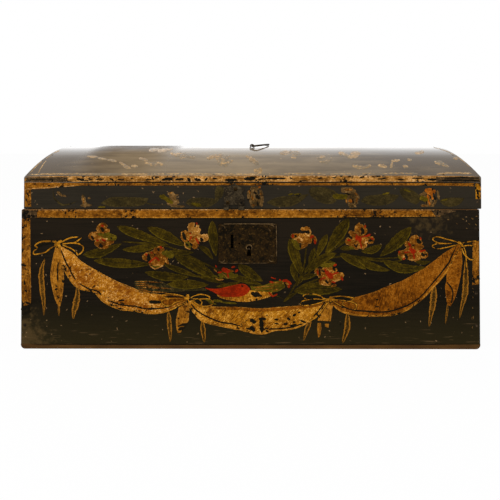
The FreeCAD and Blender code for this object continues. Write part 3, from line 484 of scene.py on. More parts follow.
# %% Sight lines
view_axes = camera_turn.to_matrix()
BOARD_MARGIN = 0.4 * MM


def sight_line(point):
    """The direction of the camera's sight line through a point of the photograph."""
    across = (point[0] - PICTURE / 2) / focal_px
    above = (principal_row - point[1]) / focal_px
    return view_axes @ Vector((across, above, -1.0))


def on_upright(level):
    """A finder of places on the upright plane at that depth, kept inside the ends of the boards."""
    def find(point):
        way = sight_line(point)
        place = camera_place + way * ((level - camera_place.y) / way.y)
        low, high = (lid_low, lid_high) if place.z > base_top else (base_low, base_high)
        place.x = min(max(place.x, low.x + BOARD_MARGIN), high.x - BOARD_MARGIN)
        return place, Vector((0, -1, 0))
    return find


def on_vault(point):
    """The place on the bent board of the lid, and the way that it faces."""
    way = sight_line(point)
    from_axis = Vector((0, camera_place.y, camera_place.z - vault_axis_z))
    flat = Vector((0, way.y, way.z))
    half = from_axis.dot(flat)
    inside = half ** 2 - flat.length_squared * (from_axis.length_squared - vault_radius ** 2)
    reach = (-half - math.sqrt(max(inside, 0.0))) / flat.length_squared
    place = camera_place + way * reach
    place.x = min(max(place.x, vault_low.x + BOARD_MARGIN), vault_high.x - BOARD_MARGIN)
    return place, Vector((0, place.y, place.z - vault_axis_z)).normalized()


on_front = on_upright(front_y)
on_plate = on_upright(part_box("lock_plate")[0].y)
PICTURE_MIDDLE = (PICTURE / 2, PICTURE / 2)
print("the picture's middle meets the front at", [round(v, 4) for v in on_front(PICTURE_MIDDLE)[0]])

# %% [markdown]
# A smooth line goes through a few points, as a hand draws it. The width along the stroke has a
# profile of its own: a leaf swells and comes to a point, a dab is round, and a ribbon is even.

# %% Lines and profiles
STRAY = 0.5


def smooth(values, share):
    """The value at that share of the way along a smooth line through the given values."""
    spot = share * (len(values) - 1)
    first = min(int(spot), len(values) - 2)
    t = spot - first
    before, start, end, after = (values[min(max(first + k, 0), len(values) - 1)] for k in (-1, 0, 1, 2))
    return (start * 2 + (end - before) * t + (before * 2 - start * 5 + end * 4 - after) * t ** 2
        + (start * 3 - before - end * 3 + after) * t ** 3) * 0.5


def span(line):
    """The length of a line of points."""
    return sum((after - before).length for before, after in zip(line, line[1:]))


def waver(spot, layer):
    """How far the hand strays at a place, from -1 to 1; every layer strays in its own way."""
    return noise.noise(Vector((spot.x * STRAY, spot.y * STRAY, layer)))


def beside(points, distance):
    """The line that runs beside the given one, below it where the distance is more than nothing."""
    line = [Vector(p) for p in points]
    ways = [line[min(i + 1, len(line) - 1)] - line[max(i - 1, 0)] for i in range(len(line))]
    return [spot + Vector((-way.y, way.x)).normalized() * distance for spot, way in zip(line, ways)]


PROFILES = {
    "leaf": lambda t: math.sin(math.pi * t ** 0.92) ** 1.05,
    "dab": lambda t: math.sqrt(max(0.0, 1 - (2 * t - 1) ** 2)),
    "ribbon": lambda t: min(1.0, (min(t, 1 - t) / 0.12) ** 0.5),
    "tail": lambda t: min(1.0, (t / 0.3) ** 0.6) * min(1.0, ((1 - t) / 0.45) ** 0.7),
}


def stroke_sides(points, width, profile, steps, shake, glance=0.01):
    """The two side lines of a stroke along the points, in the photograph, half the width to each side."""
    line = [Vector(p) for p in points]
    left, right = [], []
    for i in range(steps + 1):
        t = i / steps
        spot = smooth(line, t)
        way = (smooth(line, min(t + glance, 1.0)) - smooth(line, max(t - glance, 0.0))).normalized()
        half = width / 2 * PROFILES[profile](t)
        side = Vector((-way.y, way.x))
        left.append(spot + side * (half * (1 + waver(spot, 3.0) * shake)))
        right.append(spot - side * (half * (1 + waver(spot, 9.0) * shake)))
    return left, right


print("profiles", sorted(PROFILES))

# %% [markdown]
# Each stroke starts as a flat grid; its rows are pulled onto the two side lines and onto the board,
# and its middle is raised. Strokes of one colour are then joined, and Solidify gives the skin a back
# that reaches a little into the wood, so that every stroke is a closed body of paint.

# %% Lay a stroke of paint
SKIN = 0.30 * MM
DOME = 0.14 * MM
END_HEIGHT = 0.2
STROKE_STEP, PANEL_STEP = 1.4, 1.8
PIXEL = 1.2 * MM
SMOOTH_ANGLE = math.radians(40)


def lay(pile, left, right, lift, place, rows):
    """Adds to the pile a strip of paint between two lines of points that have equal counts."""
    steps = len(left) - 1
    bpy.ops.object.select_all(action="DESELECT")
    bpy.ops.mesh.primitive_grid_add(x_subdivisions=rows, y_subdivisions=steps, size=1)
    strip = bpy.context.object
    mesh = strip.data
    rim = mesh.attributes.new("rim", "FLOAT", "POINT")
    along = mesh.attributes.new("along", "FLOAT_VECTOR", "POINT")
    length = span(left) * PIXEL
    for vertex in mesh.vertices:
        across, share = vertex.co.x + 0.5, vertex.co.y + 0.5
        row = min(round(share * steps), steps)
        spot = left[row].lerp(right[row], across)
        ground, facing = place(spot)
        off_middle = abs(2 * across - 1)
        bulge = DOME * (1 - off_middle ** 4) * min(1.0, 4 * min(share, 1 - share) + END_HEIGHT)
        vertex.co = ground + facing * (lift + bulge)
        rim.data[vertex.index].value = off_middle
        wide = (left[row] - right[row]).length * PIXEL
        along.data[vertex.index].vector = (share * length, (across - 0.5) * wide, lift)
    mesh.update()
    facing = place(left[0])[1]
    if sum((p.normal.dot(facing) for p in mesh.polygons)) < 0:
        mesh.flip_normals()
    pile.append(strip)


def stroke(pile, points, width, lift, profile, place, shake, rows):
    """A brush stroke along points of the photograph; its width is in pixels and its lift in mm."""
    steps = max(9, min(60, int(span([Vector(p) for p in points]) / STROKE_STEP)))
    left, right = stroke_sides(points, width, profile, steps, shake)
    lay(pile, left, right, lift * MM, place, rows)


def dab(pile, x0, y0, x1, y1, width, lift, place):
    """A short round touch of the brush."""
    start, end = Vector((x0, y0)), Vector((x1, y1))
    way = (end - start).normalized() * width * 0.4
    line = [start - way, (start + end) / 2, end + way]
    stroke(pile, line, width, lift, "dab", place, shake=0.6, rows=4)


def panel(pile, upper, lower, lift, place, rows=6, shake=0.35):
    """A filled shape between an upper and a lower line."""
    top, bottom = [Vector(p) for p in upper], [Vector(p) for p in lower]
    steps = max(8, min(90, int(span(top) / PANEL_STEP)))
    left, right = [], []
    for i in range(steps + 1):
        a, b = smooth(top, i / steps), smooth(bottom, i / steps)
        left.append(a + Vector((0, waver(a, 1.0) * shake)))
        right.append(b + Vector((0, waver(b, 5.0) * shake)))
    lay(pile, left, right, lift * MM, place, rows)


def paint_piece(name, material, body, lift, panels=(), strokes=(), dabs=(), profile="ribbon",
        place=on_front, shake=0.5, rows=2):
    """One closed piece of one paint, made of panels, strokes and dabs, that rides on a body."""
    pile = []
    for upper, lower in panels:
        panel(pile, upper, lower, lift, place)
    for line, width in strokes:
        stroke(pile, line, width, lift, profile, place, shake, rows)
    for x0, y0, x1, y1, width in dabs:
        dab(pile, x0, y0, x1, y1, width, lift, place)
    bpy.ops.object.select_all(action="DESELECT")
    for strip in pile:
        strip.select_set(True)
    bpy.context.view_layer.objects.active = pile[0]
    if len(pile) > 1:
        bpy.ops.object.join()
    piece = bpy.context.object
    piece.name = name
    piece.data.name = name
    wall = piece.modifiers.new("skin", "SOLIDIFY")
    wall.thickness = SKIN
    wall.offset = -1.0
    bpy.ops.object.modifier_apply(modifier=wall.name)
    bpy.ops.object.shade_smooth_by_angle(angle=SMOOTH_ANGLE)
    piece.data.materials.clear()
    piece.data.materials.append(material)
    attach(piece, body)
    print(name, len(pile), "strokes", len(piece.data.polygons), "faces")


print("a skin of", SKIN, "m with a dome of", DOME, "m")

# %% [markdown]
# The decorator's paints are earth colours in oil and glue: yellow ochre for the ribbons, thin and
# streaky, green earth for leaves, red lead, and white that has gone cream. They are matt, brush marks
# run along each stroke or across the folds of the cloth, the rims are rubbed paler, and where the
# paint flaked the black coat shows. The marks follow the stroke's own coordinates, which were stored
# on the strip as it was laid.

# %% Decorator's paints
ALONG, ACROSS, DRY = (160.0, 1100.0, 1.0), (900.0, 130.0, 1.0), (160.0, 2200.0, 1.0)


def old_paint(name, deep, main, pale, flake=0.2, marks=ALONG, speckle=0.5, edge=0.35, rim_start=1.0,
        gloss=0.03, rough=0.55, under=DARK_COAT):
    """Paint in three tones with brush marks; flake grows with the share that has come off."""
    material, tree = new_material(name)
    place = add(tree, "TexCoord").outputs["Object"]
    mark = add(tree, "Attribute", attribute_name="along").outputs["Vector"]
    rim = add(tree, "Attribute", attribute_name="rim").outputs["Fac"]
    drawn = add(tree, "Mapping", {"Vector": mark, "Scale": marks})
    hairs = add(tree, "TexNoise", {"Vector": drawn, "Scale": 1.0, "Detail": 3.0})
    cloud = add(tree, "TexNoise", {"Vector": place, "Scale": 200.0, "Detail": 5.0, "Roughness": 0.72})
    crumb = add(tree, "TexNoise", {"Vector": place, "Scale": 700.0, "Detail": 3.0})
    wash = add(tree, "TexNoise", {"Vector": place, "Scale": 46.0, "Detail": 2.0})
    tone = add(tree, "Mix", {0: 0.5, 2: hairs, 3: cloud})
    tone = add(tree, "Mix", {0: 0.25, 2: tone, 3: wash})
    share = add(tree, "MapRange", {"Value": tone, "From Min": 0.43, "From Max": 0.55})
    colour = add(tree, "Mix", {MIX_FACTOR: share, MIX_A: linear(deep), MIX_B: linear(main)},
        data_type="RGBA")
    high = add(tree, "Math", {0: cloud, 1: crumb}, operation="ADD")
    high = add(tree, "Math", {0: wash, 1: 0.3, 2: high}, operation="MULTIPLY_ADD")
    high = add(tree, "MapRange", {"Value": high, "From Min": 1.21, "From Max": 1.36, "To Max": speckle})
    worn = add(tree, "Math", {0: rim, 1: 0.6, 2: crumb}, operation="MULTIPLY_ADD")
    worn = add(tree, "MapRange", {"Value": worn, "From Min": rim_start, "From Max": rim_start + 0.16,
        "To Max": edge})
    light = add(tree, "Math", {0: high, 1: worn}, operation="MAXIMUM")
    colour = add(tree, "Mix", {MIX_FACTOR: light, MIX_A: colour, MIX_B: linear(pale)}, data_type="RGBA")
    patch = add(tree, "TexNoise", {"Vector": place, "Scale": 260.0, "Detail": 5.0, "Roughness": 0.68})
    field = add(tree, "TexNoise", {"Vector": place, "Scale": 30.0, "Detail": 2.0})
    loose = add(tree, "Math", {0: field, 1: 0.6, 2: patch}, operation="MULTIPLY_ADD")
    loose = add(tree, "Math", {0: rim, 1: 0.06, 2: loose}, operation="MULTIPLY_ADD")
    gone = add(tree, "MapRange", {"Value": loose, "From Min": 1.17 - flake, "From Max": 1.20 - flake})
    colour = add(tree, "Mix", {MIX_FACTOR: gone, MIX_A: colour, MIX_B: linear(under)}, data_type="RGBA")
    height = add(tree, "Math", {0: gone, 1: -1.0, 2: crumb}, operation="MULTIPLY_ADD")
    relief = add(tree, "Bump", {"Height": height, "Strength": 0.4, "Distance": 0.12 * MM})
    return surfaced(material, colour, rough, gloss, relief)


ochre = old_paint("yellow ochre of the swags", "#7a3f05", "#bb7818", "#f2bc70", flake=0.21, marks=ACROSS,
    speckle=0.75)
middle_ochre = old_paint("brown ochre of the middle swag", "#5e3003", "#b87612", "#ecb050", flake=0.20,
    marks=ACROSS, speckle=0.8)
right_ochre = old_paint("brown ochre of the right swag", "#4c2501", "#8c4e06", "#b87826", flake=0.14,
    marks=ACROSS)
hem_ochre = old_paint("ochre of the hems", "#6e430a", "#b87618", "#e0a850", flake=0.25)
ribbon_ochre = old_paint("bright ochre of the ribbons", "#704408", "#bb7a14", "#e6ac40", flake=0.26)
band_ochre = old_paint("ochre of the borders", "#4e2a05", "#93590f", "#c48530", flake=0.23, speckle=0.7)
worn_ochre = old_paint("ochre worn to the wood", "#241b10", "#4c3820", "#836440", flake=0.28, speckle=0.6)
edge_gold = old_paint("gold of the lid edge", "#684011", "#b57c33", "#f0bc7a", flake=0.23, speckle=0.8)
tail_ochre = old_paint("dull ochre of the ribbon ends", "#5a3206", "#a76a16", "#cc8e3c", flake=0.20)
thin_ochre = old_paint("olive ochre of the thin ends", "#281c07", "#48300a", "#9c651a", flake=0.16,
    edge=0.9, rim_start=0.74)
leaf_green = old_paint("green earth of the leaves", "#231b03", "#3d2f04", "#5c4a0b", flake=0.04,
    edge=0.5, speckle=0.7)
bright_green = old_paint("yellow green touches", "#3a3006", "#5a4906", "#80681c", flake=0.16)
faded_green = old_paint("faded green of the lid", "#251e0f", "#3b3014", "#564828", flake=0.12)
red_lead = old_paint("red lead", "#6c1802", "#962203", "#b4400f", flake=0.10, speckle=0.4)
petal_ochre = old_paint("ochre of the petals", "#452303", "#874d08", "#cc9140", flake=0.17, speckle=0.8,
    edge=0.5)
faded_petal = old_paint("faded ochre of the lid petals", "#33250f", "#6e4f28", "#a8824e", flake=0.10)
orange = old_paint("orange of the flower hearts", "#6e3806", "#a8590e", "#d08a38", flake=0.16)
cream = old_paint("lead white gone cream", "#7a4a12", "#b27a30", "#e6b06c", flake=0.15, speckle=0.9)
ink = old_paint("lamp black line", "#110e07", "#181309", "#2a2010", flake=0.0, speckle=0.2)
grey_green = old_paint("grey green of the tail feathers", "#1c190c", "#342c12", "#6d5830", flake=0.18,
    marks=DRY)
rubbed_wood = old_paint("wood rubbed through at the arris", "#7c4f1e", "#b98544", "#f0c088", flake=0.27,
    speckle=0.8)
# Paler iron for the rubbed edges of the lock plate and the painted highlights on them.
rubbed_and_highlight_iron = old_paint("rubbed edge of the plate with painted highlights", "#3a2c18", "#6b5334", "#8a7048", flake=0.10,
    gloss=0.06)
ghost_gold = old_paint("rubbed gold under varnish", "#806236", "#ab854e", "#dcb47c", flake=0.34,
    speckle=0.9, gloss=0.3, rough=0.3, under="#746348")
print("paints mixed")

# %% [markdown]
# Borders. An ochre band runs along the top of the base and down both sides, with a thin bright line
# along its lower edge and a dark one under that. On the real chest the band is worn to the wood at
# the left corner and towards the right end, and the right upright is lost to a few crumbs below the
# bow. The lock plate has rubbed edges with a painted highlight along them, and rings of painted
# highlight round its nails and its keyhole.

# %% Borders of the base
BASE_BANDS = [
    ([(30, 210.3), (120, 210), (240, 210.1), (346, 210), (441, 210.4)],
     [(31, 217.4), (120, 217.8), (240, 217.7), (346, 217), (440, 216.4)]),
    ([(20.9, 219), (21.2, 262), (21.5, 296), (24, 306)],
     [(30.2, 216), (30.6, 260), (31, 296), (30.6, 304)]),
    ([(472.4, 241), (472.6, 262), (472.2, 285)], [(478.6, 241), (478.8, 262), (478.6, 284)])
]
WORN_BANDS = [
    ([(21, 210.4), (27, 210.3), (37, 210.3)], [(21, 218.6), (27, 218.4), (37, 217.6)]),
    ([(431, 210.4), (443, 210.3), (456, 210.5)], [(436, 216.8), (444, 214.4), (456, 211.2)])
]
BAND_LINES = [([(39, 217), (120, 217.4), (240, 217.3), (346, 216.7), (428, 216.2)], 0.9)]
BAND_SHADES = [
    ([(34, 218.5), (120, 218.7), (240, 218.6), (346, 218), (436, 217.6)], 0.9),
    ([(30, 344.2), (120, 344.4), (250, 344.5), (380, 344.4), (470, 344.2)], 0.9)
]
CRUMBS = [
    (472.4, 288, 473.2, 289, 0.7), (473.4, 291.4, 473.2, 292.2, 0.5), (472.8, 296.4, 473, 297.8, 0.6),
    (472.4, 307, 472.8, 308.4, 0.6), (473.2, 316, 473.4, 318.6, 0.8), (471.8, 317, 472.2, 319.6, 0.6),
    (472.6, 326.6, 472.2, 328, 0.9), (468.6, 223.4, 470, 224.2, 0.9), (471.4, 218, 473.4, 219, 1.2),
    (475.6, 216.6, 477.4, 216, 0.8), (456.4, 223.2, 457.4, 223.8, 0.7), (447.4, 219.4, 449, 219.8, 0.9),
    (462, 218.6, 464, 219.6, 0.8), (466, 228, 467, 228.4, 0.6), (475.4, 224, 476.6, 225.4, 0.7)
]
# Painted highlights along the lock plate's edges, where they are also rubbed, and rings of painted
# highlight round its nails and keyhole.
PLATE_EDGE_HIGHLIGHTS = [
    ([(222.8, 224), (240, 223.8), (262, 223.9), (276, 224.2)], 0.8),
    ([(276.2, 225), (276.6, 240), (276.6, 257)], 0.6), ([(220, 263), (240, 263.2), (268, 263)], 0.5)
]
PLATE_NAILS = [(222.2, 227.9), (271.5, 228.1), (271.6, 258.6), (221.8, 259.3)]
NAIL_RING = 2.9
KEYHOLE, KEYHOLE_RING = (249.2, 247.6), 2.8


def ring(centre, radius, first, last):
    """Part of a ring of points; its start and end are counted in twelfths of a turn."""
    turns = [math.tau * i / 12 for i in range(first, last + 1)]
    return [(centre[0] + radius * math.cos(a), centre[1] + radius * math.sin(a)) for a in turns]


PLATE_RING_HIGHLIGHTS = [(ring(nail, NAIL_RING, -4, 6), 0.6) for nail in PLATE_NAILS]
PLATE_RING_HIGHLIGHTS += [(ring(KEYHOLE, KEYHOLE_RING, -8, 2), 0.7)]
paint_piece("base_borders", band_ochre, "base", lift=0.08, panels=BASE_BANDS)
paint_piece("worn_borders", worn_ochre, "base", lift=0.12, panels=WORN_BANDS)
paint_piece("border_lines", hem_ochre, "base", lift=0.20, strokes=BAND_LINES, shake=0.9)
paint_piece("border_crumbs", faded_petal, "base", lift=0.22, dabs=CRUMBS)
paint_piece("border_shades", ink, "base", lift=0.16, strokes=BAND_SHADES, shake=0.8)
paint_piece("plate_edges", rubbed_and_highlight_iron, "base", lift=0.10, strokes=PLATE_EDGE_HIGHLIGHTS + PLATE_RING_HIGHLIGHTS,
    place=on_plate, shake=0.8)

# %% [markdown]
# Three swags of cloth hang between four bows. Each is a panel between the line of its upper hem and
# its lower hem. Shade lies under the upper hem of the middle one and below the bow at its left, and
# short lights lie along the lower hems.

# %% Swags
LEFT_SWAG_TOP = [
    (61, 246), (72.4, 252.7), (79.3, 259.4), (85, 263.6), (101, 272.8), (112, 278.8), (121.7, 283.1),
    (133.8, 288), (145, 291.8), (153, 293.4), (164, 294.8), (176, 296), (188, 297)
]
LEFT_SWAG_HEM = [
    (57, 249), (61.5, 261), (65, 272.2), (70, 280.5), (74.8, 286.2), (81.5, 290), (93.7, 293),
    (103.6, 302.6), (119.1, 309.7), (131.7, 311.2), (152, 314.3), (170, 310.8), (187, 301)
]
MIDDLE_SWAG_TOP = [
    (189, 298), (200, 302.5), (213, 306.2), (240, 307.2), (261.2, 308.4), (286, 306.5), (300.3, 305.6),
    (314.6, 303.9), (323.2, 301.7), (331, 299)
]
MIDDLE_SWAG_HEM = [
    (187.5, 305), (196, 316), (204, 322.5), (222, 326.8), (240, 330.5), (261, 334.6), (275, 331),
    (294.5, 329), (312, 320.5), (330, 302.5)
]
RIGHT_SWAG_TOP = [
    (331, 299), (342, 299.5), (353.7, 297.6), (373.8, 291.9), (387.6, 286.1), (401.4, 280.9),
    (413, 274.6), (424.4, 267.7), (433.6, 261.2), (444.5, 252.7), (459.5, 243.5)
]
RIGHT_SWAG_HEM = [
    (331.5, 304.5), (338, 310.1), (345.5, 313.6), (360.6, 316.3), (381.3, 316.6), (395, 315.2),
    (408, 310), (422.1, 299.9), (432, 290), (447.4, 271.8), (461, 247)
]
SWAG_SHADE = [(beside(MIDDLE_SWAG_TOP[2:-1], 1.8), 3.4)]
UNDER_BOW = [
    ([(157, 296), (165, 293.4), (175, 293.4), (187, 297)],
     [(160, 303), (168, 306.4), (177, 304), (187, 300.4)])
]
HEM_LIGHTS = [
    (beside(LEFT_SWAG_HEM[1:], -0.9), 1.6), (beside(LEFT_SWAG_TOP, 0.7), 1.0),
    (beside(MIDDLE_SWAG_HEM, -0.9), 1.7), (beside(RIGHT_SWAG_HEM[:8], -0.9), 1.5),
    (beside(RIGHT_SWAG_HEM[7:], -1.1), 1.3)
]
paint_piece("left_swag", ochre, "base", lift=0.10, panels=[(LEFT_SWAG_TOP, LEFT_SWAG_HEM)])
paint_piece("middle_swag", middle_ochre, "base", lift=0.10, panels=[(MIDDLE_SWAG_TOP, MIDDLE_SWAG_HEM)])
paint_piece("right_swag", right_ochre, "base", lift=0.10, panels=[(RIGHT_SWAG_TOP, RIGHT_SWAG_HEM)])
paint_piece("swag_shade", right_ochre, "base", lift=0.18, panels=UNDER_BOW, strokes=SWAG_SHADE, shake=0.8)
paint_piece("hem_lights", hem_ochre, "base", lift=0.24, strokes=HEM_LIGHTS, shake=0.7)

# %% [markdown]
# The ends of the ribbons hang below the swags: long tongues that swell and come to a point. The two
# large ones at the outer bows are panels, the thin ones are single strokes of the brush.

# %% Hanging tails
LARGE_TAILS = [
    ([(55.5, 247), (52, 262), (50.4, 276), (52.3, 289), (54.6, 298), (58.2, 306.5)],
     [(61, 249), (63, 262), (64, 277), (63.2, 289), (62, 298.5), (60, 306.5)]),
    ([(184, 301.5), (179, 307.5), (177.4, 313), (176, 321), (176.3, 327), (177.5, 333)],
     [(189.4, 302), (189.4, 309.7), (189, 316), (188.4, 321), (184, 326.5), (180.5, 332.5)]),
    ([(326, 302), (321.5, 310.5), (317.6, 320.4)], [(333.3, 303), (332.3, 309.5), (330.7, 321)]),
    ([(317.6, 322.8), (317.2, 330), (318.2, 337.5)], [(321, 322.8), (321.2, 329), (319.8, 336.5)]),
    ([(324.8, 323.6), (325.2, 326.8)], [(328.9, 323.8), (328.3, 327.4)])
]
RIGHT_TAIL = [
    ([(452, 249), (449, 262), (446.8, 272.3), (446.2, 281.5), (445.1, 287), (446.2, 298), (447.6, 305.5)],
     [(461.2, 248), (462.3, 262), (461.8, 266), (460.6, 276.4), (457.7, 289), (454.5, 299),
      (450.5, 306)])
]
THIN_TAILS = [
    ([(44.8, 259), (42, 268), (41.4, 276), (42, 286), (43.2, 298), (44, 306), (43.9, 315.5)], 5.4),
    ([(77.6, 286), (77.2, 297), (75.6, 305), (73.9, 312), (73.3, 319)], 6.2),
    ([(168.8, 311), (169, 320), (170, 331), (170.2, 342)], 4.6),
    ([(202.3, 320.5), (202.8, 328), (203.8, 336), (204.2, 342.5)], 4.6),
    ([(311, 320), (308.6, 325), (306, 332), (303.6, 340.6)], 4.4),
    ([(347, 313), (347.6, 320), (347.2, 328), (344.6, 336.5), (342.6, 343)], 5.6),
    ([(434.4, 285), (433.9, 293), (433, 303), (431.2, 313), (429, 326.8)], 6.6),
    ([(447.2, 304), (447.2, 310), (446.2, 318), (445.4, 324.2)], 1.9),
    ([(466.2, 258), (465.8, 272), (465.6, 285), (464.8, 295), (462.2, 305), (459.4, 318.4)], 5.8),
    ([(59, 305), (58.9, 310), (59, 316)], 1.8)
]
paint_piece("ribbon_tails", tail_ochre, "base", lift=0.13, panels=LARGE_TAILS)
paint_piece("right_ribbon_tail", right_ochre, "base", lift=0.13, panels=RIGHT_TAIL)
paint_piece("thin_ribbon_tails", thin_ochre, "base", lift=0.13, strokes=THIN_TAILS, profile="tail",
    shake=0.3, rows=4)

# %% [markdown]
# Each bow is a knot with narrow loops to both sides, drawn with a small brush well filled with
# brighter ochre. The loops are dark inside, and every line has a thin dark rim, so that it stands
# clear of the cloth.

# %% Bows
LEFT_BOW = [
    ([(57, 241.8), (49, 241.2), (42, 241.6), (37, 243.6), (35.4, 245.8), (38, 248)], 1.8),
    ([(56, 245.6), (50, 248.6), (46, 252), (40, 253.6), (35.4, 254.4), (33.4, 253.2), (34.4, 250.6),
      (37.6, 248.6)], 1.3),
    ([(61.5, 242.4), (66.5, 239.3), (71.3, 237.6), (78.4, 236.9)], 1.5),
    ([(62, 243.9), (70, 243), (75.4, 242.2), (81.8, 237.6)], 1.4),
    ([(70, 243.2), (77, 243.2), (82, 245.4), (83.6, 248.4), (81.8, 252.2), (77.6, 255.4)], 1.5),
    ([(62, 244.8), (70, 247.8), (74.3, 250.5), (77, 253.4), (77.4, 255.6)], 1.3),
    ([(54, 241), (57, 244), (61, 247.6)], 3.6), ([(62, 240.6), (58.6, 242.6), (55, 246.4)], 3.4)
]
MIDDLE_LEFT_BOW = [
    ([(185, 297.2), (182, 295.9), (176, 294.4), (167.4, 293.8), (162.6, 295), (164, 297.2), (169, 298.5),
      (185, 298)], 1.2),
    ([(184, 300.4), (175.3, 302.4), (171.8, 305), (166.6, 306), (162.6, 303.9), (161.5, 301.2),
      (165, 299.2), (172, 299)], 1.4),
    ([(191, 297), (198.8, 294.5), (205.1, 294.8), (209.1, 296.5), (209.7, 298.2), (206.3, 298.8),
      (190, 298.8)], 1.3),
    ([(206, 298.6), (210.5, 299.4), (213.1, 301.8), (212, 304.5), (207.4, 306.2), (201.7, 306.2),
      (197, 304), (191, 299.8)], 1.4),
    ([(199.4, 299.4), (202, 302), (200.7, 305.8)], 1.2),
    ([(186, 303), (180, 305), (174, 308.4), (168, 310.6)], 1.4),
    ([(187.4, 294.2), (188.4, 298), (188.2, 301)], 4.0),
    ([(184, 298.6), (188.5, 297.6), (192.5, 299)], 3.4)
]
MIDDLE_RIGHT_BOW = [
    ([(329, 299), (323.8, 298.4), (320.4, 295.9), (314, 294.1), (306.6, 294.1), (303.1, 296.4),
      (307.7, 299.6), (314.6, 298.8), (327, 299.8)], 1.1),
    ([(326, 300.6), (319.2, 303), (311.8, 304.8), (303.7, 305.6), (300.5, 303.8), (302.5, 301),
      (308, 299.9)], 1.2),
    ([(331, 298), (334, 296.6), (341.1, 296.2), (349.1, 297), (354, 298.4), (350.8, 300.9)], 1.2),
    ([(322, 300.8), (333.6, 299.8), (342.2, 300.2), (349.7, 301.4), (354.9, 303.2), (356.6, 306),
      (354.9, 309.4), (352.4, 311)], 1.3),
    ([(343.9, 301.6), (342.6, 304), (344.6, 305.6)], 1.1),
    ([(333, 300.6), (338, 304.4), (345, 308)], 1.2),
    ([(330.4, 296.4), (330.6, 299.4), (330, 302.4)], 4.0),
    ([(326, 300), (330.6, 299), (335, 299.6)], 3.0),
    ([(328, 302), (323.6, 308), (317.4, 316), (308.6, 321.6)], 1.5)
]
RIGHT_BOW = [
    ([(459, 243), (453, 240.8), (445, 238.7), (440, 237.2), (435.4, 237), (432.6, 239), (435.4, 241.6),
      (440, 243.1), (447.5, 243.3)], 1.3),
    ([(452, 243.3), (445, 243.6), (438, 243.6), (433.2, 244.8), (432.4, 246.8), (436, 248.3),
      (442, 248.2), (452, 246), (458, 244.4)], 1.2),
    ([(462, 242.8), (468, 241.6), (476.4, 241)], 1.4), ([(462, 246.6), (468, 245.2), (474, 246.2)], 1.3),
    ([(461.6, 247.6), (463.4, 253), (467.5, 257.7), (471.5, 259.8), (476, 258)], 1.3),
    ([(463.6, 247), (465.4, 252), (466.3, 262), (466.4, 270)], 1.1),
    ([(457.6, 241.8), (460.6, 243.6), (463, 246.6)], 2.6)
]
LOOP_SHADES = [
    ([(163.4, 296.4), (170, 295.2), (178, 295.8), (184, 297.4)],
     [(164, 298.2), (170, 297.6), (178, 297.6), (184, 298.4)]),
    ([(193, 298), (199, 295.8), (205, 296), (208.6, 297.4)],
     [(193, 298.6), (199, 298.2), (205, 298.2), (208.6, 298.2)]),
    ([(194, 300.4), (200, 299.8), (206, 300.4), (211, 302)],
     [(197, 303), (202, 305), (207, 305), (211, 303.4)]),
    ([(304.6, 296.4), (309, 295.2), (316, 295.8), (322, 298.4)],
     [(307, 298.6), (312, 298.4), (317, 298.2), (322, 299)]),
    ([(302.4, 303.2), (308, 301.4), (316, 301), (323, 301)],
     [(304, 304.4), (311, 303.6), (318, 302.4), (323, 301.6)]),
    ([(334, 298.4), (340, 297.4), (347, 298), (352, 299)],
     [(334, 299.2), (341, 299.6), (347, 300.2), (350, 300.2)]),
    ([(36.4, 244.6), (42, 242.8), (49, 242.6), (56, 243)],
     [(38.6, 247.4), (43, 245.6), (49, 244.6), (56, 244)])
]
THINNED, RIM = 0.85, 1.0
paint_piece("bow_loop_shades", ink, "base", lift=0.22, panels=LOOP_SHADES)
BOW_LINES = [(line, width * THINNED) for line, width in LEFT_BOW + MIDDLE_LEFT_BOW + MIDDLE_RIGHT_BOW
    + RIGHT_BOW]
paint_piece("bow_outlines", ink, "base", lift=0.26, strokes=[(line, width + RIM) for line,
    width in BOW_LINES])
paint_piece("bows", ribbon_ochre, "base", lift=0.34, strokes=BOW_LINES)

# %% [markdown]
# Leaves fill the field between the swags and the border. One stroke of green earth makes a leaf: it
# is pressed down and lifted. Stems are long thin strokes in the same colour.

# %% Leaves and stems
LEFT_LEAVES = [
    ((83, 254.7), (100, 252.6), (122, 243.6), 9.4), ((117, 226.4), (136, 233.6), (169, 245.2), 9.6),
    ((147, 227.2), (166, 236), (185, 246), 10.2), ((122.3, 249.7), (142, 248.4), (159, 245), 7.6),
    ((93.6, 260.3), (121, 263.3), (151, 264.4), 9.6), ((144.7, 272.2), (167, 276.6), (189, 277), 9.0),
    ((164.4, 253.4), (178, 252.4), (194, 252.4), 6.0), ((212.3, 220.6), (213, 237), (216, 256.5), 9.6),
    ((199, 246), (206.8, 251), (213, 259.4), 5.4), ((174.7, 256.5), (195, 265.4), (218, 280), 12.0),
    ((163.8, 264), (178, 269.6), (200, 277.4), 5.6), ((196, 275.4), (210, 279.6), (226, 283.6), 3.6),
    ((167, 284.2), (188, 284.6), (209, 284.8), 9.6), ((216, 286.6), (228, 285), (241, 281.8), 4.4),
    ((238, 264.6), (248.6, 272.4), (263, 281.4), 10.0), ((226, 276.4), (242, 279), (262, 284.6), 6.0)
]
